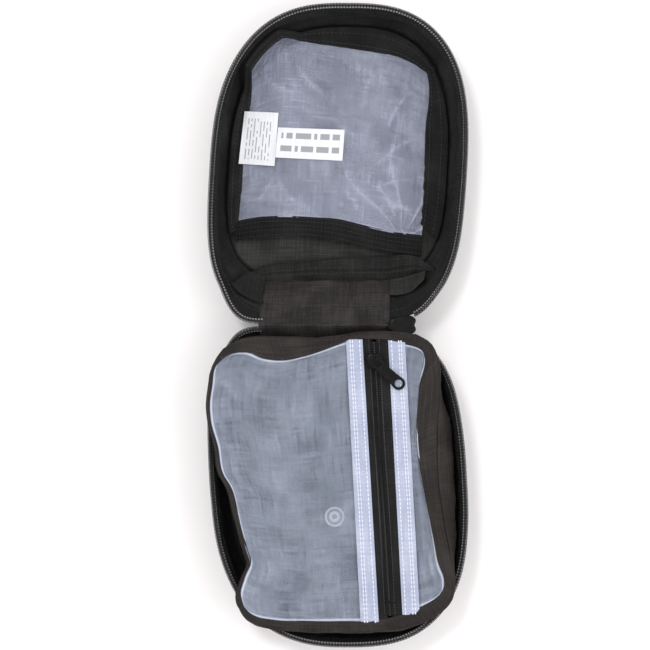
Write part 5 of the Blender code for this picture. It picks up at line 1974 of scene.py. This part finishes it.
@dataclass
class BoxPocket:
    """The tall mesh pocket in the base: its gusset, the cloth edge of its top, and two sheer panels."""

    maker: Maker
    centre: Pair = (-6.0, 92.0)
    top: float = 38.7
    foot_height: float = 4.4
    cloth_thickness: float = 0.3

    def rim_line(self) -> Array:
        """The outer edge of the pocket's top, a closed line in u and v."""
        points = [
            (-61, 13.5), (-52, 8.5), (-40, 6.6), (-28, 6.9), (-16, 7.2), (-4, 7.6), (5, 6.4), (13, 4.6), (25, 4.0), (39, 4.2),
            (50, 6.2), (57.5, 11), (61.2, 20), (60.6, 40), (57.8, 65), (57.2, 90), (58.6, 110), (61, 130), (63, 145), (60.5, 157),
            (50, 166.5), (35, 172.4), (17, 174.6), (-26, 174.8), (-43, 173.4), (-57.5, 168.2), (-62.3, 156), (-58.6, 145),
            (-54.6, 135), (-56, 130), (-59.2, 117), (-61.6, 104), (-63.8, 93), (-68.0, 84.6), (-69.6, 69), (-72.2, 55.1),
            (-72.4, 44.5), (-70.6, 34), (-68.4, 23.9), (-61, 13.5),
        ]
        return through(points, 500)

    def cloth_line(self) -> Array:
        """The line where the sheer cloth meets the top's cloth edge, closed, in u and v."""
        return through(CLOTH_EDGE, 600)

    def edge_height(self, u: Array, v: Array) -> Array:
        """Height of the pocket's top edge: it droops at the near left and lower right, where the cloth is slack.

        Args:
            u: Places across the shell.
            v: Distance from the spine.

        Returns:
            One height for each place.
        """
        droop = 1.6 * bump(u, -40, 26) * bump(v, 10, 12)
        lift = 0.8 * bump(u, 25, 18) * bump(v, 8, 14)
        return self.top - droop + lift + 0.35 * np.sin(v / 13 + u / 21)

    def gusset(self) -> None:
        """The side wall: from the foot's outline to the top's, by share, bellied and creased like slack cloth."""
        angles = turn(-90, 270, 433)
        rim = by_angle(self.rim_line(), self.centre, angles)
        ring = turn(-90, 270, 721)
        foot = by_angle(SHELL.outline(2.5).inset(ring, 3.9), self.centre, angles)
        shares = np.linspace(0, 1, 44)
        rows = []
        for share in shares:
            height = self.foot_height + (self.edge_height(rim[:, 0], rim[:, 1]) - 0.5 - self.foot_height) * share
            flat = foot + (rim - foot) * share**0.85
            away = flat - self.centre
            radius = np.linalg.norm(away, axis=1)
            arc = angles * 80
            crease = Ripples(91, 1.0, 12, 48, 11).at(arc, share * 34 + 0 * arc)
            crease = crease + Ripples(97, 0.8, 7, 26, 8, sharp=True, direction=0.2).at(arc, share * 34 + 0 * arc)
            radius = radius + crease * math.sin(math.pi * min(1.0, share * 0.96 + 0.02)) ** 0.7 - 1.4 * math.sin(math.pi * share)
            wall = SHELL.outline(float(np.clip(height.mean(), 0, 34.9))).inset(ring, 3.6)
            limit = np.linalg.norm(by_angle(wall, self.centre, angles) - self.centre, axis=1)
            edge = np.linalg.norm(rim - self.centre, axis=1)
            full = (limit - 1.2) * (1 - share**5) + edge * share**5
            right = smooth((np.cos(angles) + 0.05) / 0.5) * smooth((np.sin(angles) + 0.9) / 0.5)
            radius = radius * (1 - right) + (full + 0.6 * crease * math.sin(math.pi * share)) * right
            free = smooth((height - 34.9) / 2.0) * 6.0
            radius = np.minimum(radius, limit + free)
            flat = self.centre + away / np.linalg.norm(away, axis=1, keepdims=True) * radius[:, None]
            rows.append(laid(flat, height, Side.BASE))
        points = np.stack(rows)
        self.maker.lay("pocket_slack_gusset", points, 0.6, Look.RIPSTOP, "base", ("pocket_gusset",), "gathered",
                       ["base_soft_wall"], ring=True)

    def top_edge(self) -> None:
        """The cloth edge of the top: a band between the rim's line and the sheer cloth's, rolled down outside."""
        angles = turn(-90, 270, 541)
        rim = by_angle(self.rim_line(), self.centre, angles)
        inner = by_angle(self.cloth_line(), self.centre, angles)
        away = rim - inner
        wide = np.linalg.norm(away, axis=1, keepdims=True)
        inner = inner - away / wide * 0.9
        shares = np.linspace(0, 1, 24)
        flat = inner[None] + (rim - inner)[None] * shares[:, None, None]
        u, v = flat[..., 0], flat[..., 1]
        fold = Ripples(101, 0.45, 9, 36, 10).at(u, v) * np.sin(math.pi * shares)[:, None] ** 0.6
        crest = 0.9 * np.exp(-((shares - 0.35) / 0.22) ** 2)[:, None] * smooth((wide[:, 0] - 2.0) / 5)
        z = self.edge_height(u, v) + 0.9 + fold + crest - 1.5 * (shares**3)[:, None]
        points = place(u, v, z, Side.BASE)
        piece = sheet("pocket_cloth_edge", points, 0.5, ring=True)
        self.maker.dress(piece, Look.RIPSTOP, "base", ("pocket_top_border",))
        rows = [laid(flat[k], z[k] + 0.08, Side.BASE) for k in (3,)]
        self.maker.sew("pocket_edge_stitches", rows, "base", 2.6, 1.8, 0.36)

    def panel(self, name: str, near: Array, far: Array, left: Array, right: Array, sag: float, replaces: str, seed: int) -> None:
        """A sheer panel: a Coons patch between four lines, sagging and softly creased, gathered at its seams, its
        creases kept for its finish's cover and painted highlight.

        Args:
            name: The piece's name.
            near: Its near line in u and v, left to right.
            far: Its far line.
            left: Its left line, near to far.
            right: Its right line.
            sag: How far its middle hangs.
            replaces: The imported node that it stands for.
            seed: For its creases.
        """
        patch = coons(near, far, left, right)
        rows, columns = patch.shape[:2]
        u, v = patch[..., 0], patch[..., 1]
        s = np.linspace(-1, 1, columns)[None]
        t = np.linspace(-1, 1, rows)[:, None]
        bowl = (1 - s**2) ** 0.8 * (1 - t**2) ** 0.6
        inner = smooth((1 - np.abs(s)) / 0.12) * smooth((1 - np.abs(t)) / 0.06)
        long = Ripples(seed, 0.75, 26, 90, 9, direction=0.3, spread=0.5).at(u, v)
        crinkle = Ripples(seed + 1, 0.35, 22, 60, 8, sharp=True).at(u, v)
        fine = Ripples(seed + 2, 0.05, 5, 14, 9, sharp=True).at(u, v)
        slack = 0.3 + 1.1 * smooth((-30 - u) / 26) + 0.8 * smooth((v - 138) / 24)
        radial = self.left_folds(u, v) if columns > 150 else np.zeros_like(u)
        gather = np.exp(-(1 - np.abs(t)) / 0.03) * Ripples(seed + 3, 0.4, 5, 16, 8, direction=0.0, spread=0.12).at(u, v)
        z = self.edge_height(u, v) + 0.55 - sag * bowl
        z = z + (long + crinkle * slack + fine * slack + radial) * (0.15 + 0.85 * inner) + gather * 0.6
        points = place(u, v, z, Side.BASE)
        piece = sheet(name, points, self.cloth_thickness)
        half = 45.0 if columns > 150 else 11.0
        hem = bump((1 - np.abs(s)) * half, 1.5, 0.6) + bump((1 - np.abs(t)) * 80, 1.5, 0.6)
        # the fold attribute: crease ridges, which the finish paints pale as highlights, plus the hems and the loose
        # cloth at the left, where the net lies doubled
        ridge_highlight_and_cover = np.clip(crinkle * slack - 0.2, 0, 1) + 0.25 * np.clip(radial - 0.5, 0, 1) + fine
        loose = 0.35 * np.exp(-(1 + s) / 0.09) + 0.25 * smooth((-28 - u) / 40) * smooth((v - 120) / 50)
        crease = np.clip(0.2 * ridge_highlight_and_cover + 0.8 * hem + 0.3 * loose, 0, 1)
        write_attribute(piece, "fold", np.concatenate([crease.ravel(), crease.ravel()]))
        self.maker.dress(piece, Look.NET_BASE, "base", (replaces,))
        declare(points)

    def left_folds(self, u: Array, v: Array) -> Array:
        """Long folds that run from the pocket's slack corners: ridges along lines, tapering at their ends.

        Args:
            u: Places across the shell.
            v: Distance from the spine.

        Returns:
            One height for each place.
        """
        lines = (
            (-66, 30, -50, 52, 3.4, 1.6), (-70, 52, -56, 74, 3.2, 1.5), (-56, 20, -46, 40, 3.0, 1.0), (-66, 80, -52,
            96, 3.0, 1.4),
            (-56, 132, -40, 122, 3.4, 1.4), (-55, 134, -30, 146, 3.6, 1.5), (-56, 158, -36, 142, 3.2, 1.6),
            (-46, 166, -22, 150, 3.0, 1.2), (-60, 108, -46, 118, 2.8, 1.1), (-68, 66, -54, 84, 2.6, 1.0), (-20, 168,
            -8, 150, 2.8, 0.8),
        )
        total = np.zeros_like(u)
        for off, along, width, height in beside_lines(u, v, lines, 2.4, 4):
            ridge = np.exp(-((off / width) ** 2)) - 0.4 * np.exp(-(((off - 2 * width) / width) ** 2))
            total = total + height * ridge * smooth((0.55 - np.abs(along - 0.45)) / 0.4)
        return total

    def build(self) -> None:
        """Makes the pocket's pieces."""
        self.gusset()
        self.top_edge()
        line = CLOTH_EDGE
        near = through([*line[:8], (15.8, 7.4)], 190)
        far = through([*line[34:29:-1], (15.8, 169.4)], 190)
        left = through(line[48:33:-1], 300)
        right = np.column_stack([np.linspace(15.8, 15.8, 300), np.linspace(7.4, 169.4, 300)])
        self.panel("pocket_sheer_large", near, far, left, right, 2.6, "pocket_mesh_large", 103)
        near = through([(35.4, 8.1), *line[11:15]], 70)
        far = through([(34.2, 165), (40, 162.4), (47, 159.5), (52, 156.6), (56.6, 151.8)], 70)
        left = np.column_stack([np.linspace(35.4, 34.2, 300), np.linspace(8.1, 165, 300)])
        right = through([*line[14:25], (56.6, 151.8)], 300)
        self.panel("pocket_sheer_small", near, far, left, right, 0.9, "pocket_mesh_small", 211)


@dataclass
class PocketZip:
    """The box pocket's zip: white bindings, black tapes, a closed chain of two coils, stop, slider, pull."""

    maker: Maker
    zip_u: float = 25.0
    near: float = 8.2
    far: float = 169.6
    cloth: float = 39.15
    chain_height: float = 39.75
    chain_half: float = 1.75
    pitch: float = 1.35
    sizes: SliderSizes = SliderSizes(9.5, 9.4, 1.0, 2.8, 22.0, 7.4, 1.1, 3.2, 5.0)

    def ribbon(self, name: str, inner: Pair, outer: Pair, ends: Pair, z: float,
               thickness: float, look: Look, replaces: tuple[str, ...], ridge: float = 0.0) -> tuple[Array, Array, Array]:
        """A straight ribbon between two lines, wavering a little, with a lengthwise ridge.

        Args:
            name: The piece's name.
            inner: u of its inner edge at its near and far ends.
            outer: u of its outer edge.
            ends: v of its near and far ends.
            z: Height of its top.
            thickness: Of the tape.
            look: Its finish.
            replaces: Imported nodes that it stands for.
            ridge: Height of the ridge where it is folded over the cloth's raw edge.

        Returns:
            Its u, v and z grids.
        """
        t = np.linspace(0, 1, 320)[None]
        s = np.linspace(0, 1, 22)[:, None]
        v = ends[0] + (ends[1] - ends[0]) * t + 0 * s
        sway = 0.35 * np.sin(v / 19 + z) + 0.2 * np.sin(v / 7.3)
        u = (inner[0] * (1 - t) + inner[1] * t) * (1 - s) + (outer[0] * (1 - t) + outer[1] * t) * s + sway * s * (1 - s)
        wave = Ripples(int(inner[0] * 10) % 97 + 7, 0.16, 6, 28, 9).at(u * 1.4, v)
        edge = np.clip(1 - (2 * s - 1) ** 10, 0, 1) * 0.2
        top = z + wave + edge + ridge * (bump(s, 0.18, 0.06) + bump(s, 0.62, 0.05) + bump(s, 0.76, 0.05))
        points = place(u, v, top, Side.BASE)
        piece = sheet(name, points, thickness)
        self.maker.dress(piece, look, "base", replaces)
        declare(points)
        return u, v, top

    def tapes(self) -> None:
        """Black tapes beside the chain, and white bindings over their outer edges, each sewn twice."""
        white_lines, black_lines = [], []
        for word, way, near_edges, far_edges in (
            ("left", -1, (18.6, 9.2), (18.3, 7.9)),
            ("right", 1, (33.2, 42.8), (32.0, 41.9)),
        ):
            white = self.ribbon("pocket_white_binding_" + word, (near_edges[0], far_edges[0]), (near_edges[1], far_edges[1]),
                                (self.near, self.far - (0 if way < 0 else 4.5)), self.cloth + 0.95, 0.55, Look.WHITE,
                                ("pocket_binding_" + word,), 0.25)
            for k in (4, 13, 16):
                white_lines.append(place(white[0][k], white[1][k], white[2][k] + 0.1, Side.BASE))
            inner = self.zip_u + way * (self.chain_half - 0.3)
            outer = self.zip_u + way * 9.2
            black = self.ribbon("pocket_black_tape_" + word, (inner, inner), (outer, outer), (self.near - 0.6, self.far - 1.0),
                                self.cloth, 0.5, Look.TAPE, ("pocket_zip_tape_" + word,))
            for k in (4, 15):
                black_lines.append(place(black[0][k], black[1][k], black[2][k] + 0.08, Side.BASE))
        stitches = stitch_row("pocket_white_stitches", white_lines, UP, 2.5, 2.15, 0.6)
        self.maker.dress(stitches, Look.WHITE_THREAD, "base")
        self.maker.sew("pocket_black_stitches", black_lines, "base", 2.4, 1.8, 0.34)

    def chain(self) -> None:
        """The closed chain: two wires wound towards each other, their turns half a pitch apart, on two cords."""
        v = np.linspace(self.near + 1.0, self.far - 4.5, 500)
        for word, way in (("left", -1), ("right", 1)):
            u = self.zip_u + way * self.chain_half * 0.78 + 0.12 * np.sin(v / 15)
            path = place(u, v, self.chain_height, Side.BASE)
            along = np.gradient(path, axis=0)
            aside = np.cross(along / np.linalg.norm(along, axis=1, keepdims=True), UP)
            rise = np.broadcast_to(UP, path.shape) * 0.82 * MM
            lean = aside * 1.55 + along / np.linalg.norm(along, axis=1, keepdims=True) * way * 0.45
            # the wire's sides carry a painted highlight through its UV
            wound, out, painted_highlight = helix(path, lean * MM, rise, self.pitch, 9, math.pi if way > 0 else 0.0)
            batch = Batch()
            batch.add_wire(wound, 0.36, out, painted_highlight)
            core = tube_grid(path, 0.5 * MM, UP, 7)
            batch.add(core, np.zeros((*core.shape[:2], 2)))
            piece = batch.build("pocket_wound_coil_" + word)
            self.maker.dress(piece, Look.CHAIN, "base", ("pocket_zip_coil_" + word,))

    def slider(self) -> None:
        """The slider near the pocket's near end, its bail, its pull lying over the mesh, and the far stop."""
        low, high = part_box("pocket_slider_body")
        centre = (low + high) / 2
        nose = Matrix.Rotation(math.atan2(1.0, -SKEW), 4, "Z")
        at = Matrix.Translation(centre) @ nose
        slider = Slider("pocket_slider", self.sizes, self.maker)
        slider.body(at, "pocket_slider", ("pocket_slider_body",))
        slider.bail(at, "pocket_slider", ("pocket_slider_bail",))
        above = self.sizes.chain / 2 + self.sizes.plate + 1.3
        pivot = Matrix.Translation(centre + Vector((0, 0, above * MM)))
        aside = Matrix.Rotation(math.radians(-43), 4, "Z") @ Matrix.Rotation(math.radians(4), 4, "Y")
        slider.pull(pivot @ aside, "pocket_pull", ("pocket_pull_tab",), Look.PAINT)
        end_stop(self.maker, "pocket_zip_stop", "pocket_zip_bottom_stop", 0.85, 0.4)

    def build(self) -> None:
        """Makes the zip's pieces."""
        self.tapes()
        self.chain()
        self.slider()


# ---------------------------------------------------------------- the belt loop and its press stud


def turned(profile: list[Pair], u: float, v: float, side: Side, steps: int = 64) -> Array:
    """A profile of (radius, height) turned about an upright axis through (u, v).

    Args:
        profile: The (radius, height) points, in millimetres.
        u: The axis across the shell.
        v: Its distance from the spine.
        side: The shell.
        steps: Steps in the turn.

    Returns:
        A grid of world points.
    """
    line = np.asarray(profile, float)
    a = np.linspace(0, 2 * math.pi, steps + 1)
    middle = place(np.array(u), np.array(v), np.array(0.0), side)
    x = line[:, :1] * np.cos(a)[None] * MM + middle[0]
    y = line[:, :1] * np.sin(a)[None] * MM + middle[1]
    return np.stack(np.broadcast_arrays(x, y, line[:, 1:] * MM), axis=-1)


@dataclass
class BeltLoop:
    """The belt loop behind the base: webbing anchor and strap, a clear press stud, and the patch inside."""

    maker: Maker
    stud_u: float = -3.3
    stud_v: float = 112.0

    def webbing(self, name: str, line: Array, half: float, thickness: float, body: str, replaces: str) -> None:
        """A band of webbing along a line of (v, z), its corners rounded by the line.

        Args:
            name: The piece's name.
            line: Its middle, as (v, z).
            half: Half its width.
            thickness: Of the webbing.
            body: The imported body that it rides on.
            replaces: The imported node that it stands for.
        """
        s = np.linspace(-1, 1, 18)[None]
        v, z = line[:, :1], line[:, 1:]
        points = place(self.stud_u + s * half + 0 * v, v + 0 * s, z, Side.BASE)
        piece = sheet(name, points.transpose(1, 0, 2), thickness)
        self.maker.dress(piece, Look.WEBBING, body, (replaces,))
        declare(points)

    def build(self) -> None:
        """Makes the loop, its stud and the patch."""
        low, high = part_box("belt_loop_strap")
        middle = (low.z + high.z) / 2 / MM
        near, far = -high.y / MM, -low.y / MM
        v = np.linspace(near, far, 120)
        line = np.column_stack([v, np.full(120, middle + 0.55) + 0.08 * np.sin(v / 5)])
        self.webbing("belt_strap", line, 12.4, 1.1, "belt_loop", "belt_loop_strap")
        low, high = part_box("belt_loop_anchor")
        near, far, bottom, top = -high.y / MM, -low.y / MM, low.z / MM, high.z / MM
        corner = through([(near + 1.15, bottom), (near + 1.15, top - 2.2), (near + 1.6, top - 0.5), (near + 3, top),
                         (far, top)], 60)
        self.webbing("belt_anchor", corner, 12.4, 1.1, "base", "belt_loop_anchor")
        strap_rows = [place(self.stud_u + k * 10.6 + 0 * v, v, middle - 0.62, Side.BASE) for k in (-1, 1)]
        stitches = stitch_row("belt_stitches", strap_rows, np.array([0.0, 0.0, -1.0]), 2.8, 2.0, 0.4)
        self.maker.dress(stitches, Look.THREAD, "belt_loop")
        self.snaps()
        self.patch()

    def snaps(self) -> None:
        """The four parts of the press stud, each a profile turned about its axis, with a painted highlight on its upper
        outer rings.
        """
        for node, name, body in (
            ("snap_socket_cap", "stud_outer_cap", "belt_loop"),
            ("snap_socket", "stud_socket", "belt_loop"),
            ("snap_stud", "stud_post", "base"),
            ("snap_stud_cap", "stud_inner_cap", "base"),
        ):
            low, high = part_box(node)
            radius, z0, z1 = (high.x - low.x) / 2 / MM, low.z / MM, high.z / MM
            h = z1 - z0
            if node == "snap_stud_cap":
                profile = [(0, z0), (radius * 0.97, z0), (radius, z0 + 0.2 * h), (radius * 0.98, z0 + 0.5 * h),
                           (radius * 0.88, z0 + 0.78 * h), (radius * 0.76, z0 + 0.74 * h), (radius * 0.70, z0 + 0.45 * h),
                           (radius * 0.58, z0 + 0.42 * h), (radius * 0.52, z0 + 0.7 * h), (radius * 0.42, z0 + 0.95 * h),
                           (radius * 0.28, z0 + h), (radius * 0.22, z0 + 0.8 * h), (radius * 0.1, z0 + 0.72 * h), (0,
                           z0 + 0.7 * h)]
            elif node == "snap_socket":
                bore = radius * 0.42
                profile = [(bore, z0 + 0.1), (bore + 0.2, z0), (radius - 0.2, z0), (radius, z0 + 0.3), (radius * 0.96, z1 - 0.2),
                           (radius * 0.86, z1), (bore + 0.2, z1), (bore, z1 - 0.1), (bore, z0 + 0.1)]
            elif node == "snap_stud":
                knob = radius * 0.36
                profile = [(0, z0), (knob * 0.8, z0), (knob, z0 + 0.12 * h), (knob * 0.9, z0 + 0.4 * h), (knob * 0.9, z1 - 0.9),
                           (radius * 0.94, z1 - 0.8), (radius, z1 - 0.5), (radius * 0.97, z1), (0, z1)]
            else:
                profile = [(0, z0), (radius * 0.8, z0), (radius * 0.9, z0 + 0.25 * h), (radius, z0 + 0.7 * h),
                           (radius * 0.97, z1), (0, z1)]
            fine = through([(float(r), float(z)) for r, z in profile], 60)
            fine[:, 0] = np.maximum(fine[:, 0], 0.0)
            fine[:, 1] = np.clip(fine[:, 1], z0, z1)
            if profile[0][0] == 0:
                fine[0, 0] = fine[-1, 0] = 0.0
            else:
                fine[-1] = fine[0]
            grid = turned([tuple(p) for p in fine], self.stud_u, self.stud_v, Side.BASE)
            # painted highlight: the upper outer rings of each part are painted near white through the UV
            crest = smooth(((fine[:, 1] - z0) / h - 0.62) / 0.2) * (fine[:, 0] > 0.25 * radius)
            batch = Batch()
            batch.add(grid, np.stack([np.zeros(grid.shape[:2]), np.broadcast_to(crest[:, None] * MM, grid.shape[:2])], axis=-1))
            piece = batch.build(name)
            self.maker.dress(piece, Look.CLEAR, body, (node,))

    def patch(self) -> None:
        """The square patch inside that backs the stud, lying on the lining and sewn round its edge."""
        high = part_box("loop_backing_patch")[1]
        s = np.linspace(0, 1, 60)
        u = -33 + (8.7 + 33) * s[None, :]
        v = 91 + 40 * s[:, None]
        edge = np.minimum(np.minimum(s, 1 - s)[None], np.minimum(s, 1 - s)[:, None])
        wave = Ripples(113, 0.14, 8, 30, 8).at(u, v)
        clear = smooth((np.hypot(u - self.stud_u, v - self.stud_v) - 8) / 4)
        z = high.z / MM + 0.15 * smooth(edge / 0.03) + np.maximum(wave, 0.0) * clear
        points = place(u, v, z, Side.BASE)
        self.maker.lay("stud_patch", points, 0.45, Look.LINING, "base", ("loop_backing_patch",), "laid", ["base_loose_lining"])
        rows = [place(u[0, 2:-2] + 0 * v[2, 0], v[2, 0] + 0 * u[0, 2:-2], z[2, 2:-2] + 0.1, Side.BASE)]
        rows.append(place(u[0, 2:-2], v[-3, 0], z[-3, 2:-2] + 0.1, Side.BASE))
        rows.append(place(u[0, 2], v[2:-2, 0], z[2:-2, 2] + 0.1, Side.BASE))
        rows.append(place(u[0, -3], v[2:-2, 0], z[2:-2, -3] + 0.1, Side.BASE))
        self.maker.sew("patch_stitches", rows, "base", 2.4, 2.0, 0.62)


# ---------------------------------------------------------------- the studio


@dataclass
class Studio:
    """A pale floor, a white world, soft lights, and the camera straight above."""

    camera_x: float = -0.0074
    camera_distance: float = 1.163
    lens: float = 112.7
    aimed_height: float = 0.037

    def build(self) -> None:
        """Makes the floor, the lights and the camera."""
        scene = bpy.context.scene
        scene.view_settings.view_transform = "Standard"
        world = bpy.data.worlds.new("white surround")
        world.use_nodes = True
        world.node_tree.nodes["Background"].inputs["Color"].default_value = (1.0, 0.985, 0.985, 1)
        world.node_tree.nodes["Background"].inputs["Strength"].default_value = 1.0
        scene.world = world
        side = 3.0
        mesh = bpy.data.meshes.new("floor")
        mesh.from_pydata([(-side, -side, 0), (side, -side, 0), (side, side, 0), (-side, side, 0)], [], [(0, 1, 2, 3)])
        floor = bpy.data.objects.new("floor", mesh)
        scene.collection.objects.link(floor)
        paint = bpy.data.materials.new("pale floor")
        paint.use_nodes = True
        shader = paint.node_tree.nodes["Principled BSDF"]
        shader.inputs["Base Color"].default_value = (0.97, 0.95, 0.955, 1)
        shader.inputs["Roughness"].default_value = 0.9
        mesh.materials.append(paint)
        for name, place_at, energy, size in (
            ("key", (-0.35, 0.45, 1.5), 6.5, 0.24),
            ("fill", (0.9, -0.2, 1.1), 4.0, 0.8),
        ):
            light = bpy.data.lights.new(name, "AREA")
            light.energy, light.size = energy, size
            lamp = bpy.data.objects.new(name, light)
            lamp.location = place_at
            lamp.rotation_euler = (-Vector(place_at)).to_track_quat("-Z", "Y").to_euler()
            scene.collection.objects.link(lamp)
        camera = bpy.data.cameras.new("camera")
        camera.lens, camera.sensor_width = self.lens, 36.0
        camera.clip_start, camera.clip_end = 0.05, 20.0
        seen = bpy.data.objects.new("camera", camera)
        seen.location = (self.camera_x, 0.0, self.aimed_height + self.camera_distance)
        scene.collection.objects.link(seen)
        scene.camera = seen


def main() -> None:
    """Builds the pouch, sub-assembly by sub-assembly, in its studio."""
    logging.basicConfig(level=logging.INFO, format="%(name)s: %(message)s")
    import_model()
    Studio().build()
    maker = Maker(Finishes())
    Shell(Side.LID, maker, (Bulge(128, 5.0, 16), Bulge(185, 1.0, 30), Bulge(60, 1.0, 20))).build()
    Shell(Side.BASE, maker, (Bulge(48, 3.5, 14), Bulge(0, 1.0, 30), Bulge(150, 1.5, 18))).build()
    LidPocket(maker).build()
    Spine(maker).build()
    MainZip(maker).build()
    BoxPocket(maker).build()
    PocketZip(maker).build()
    BeltLoop(maker).build()
    log.info("done")


if __name__ == "__main__":
    main()
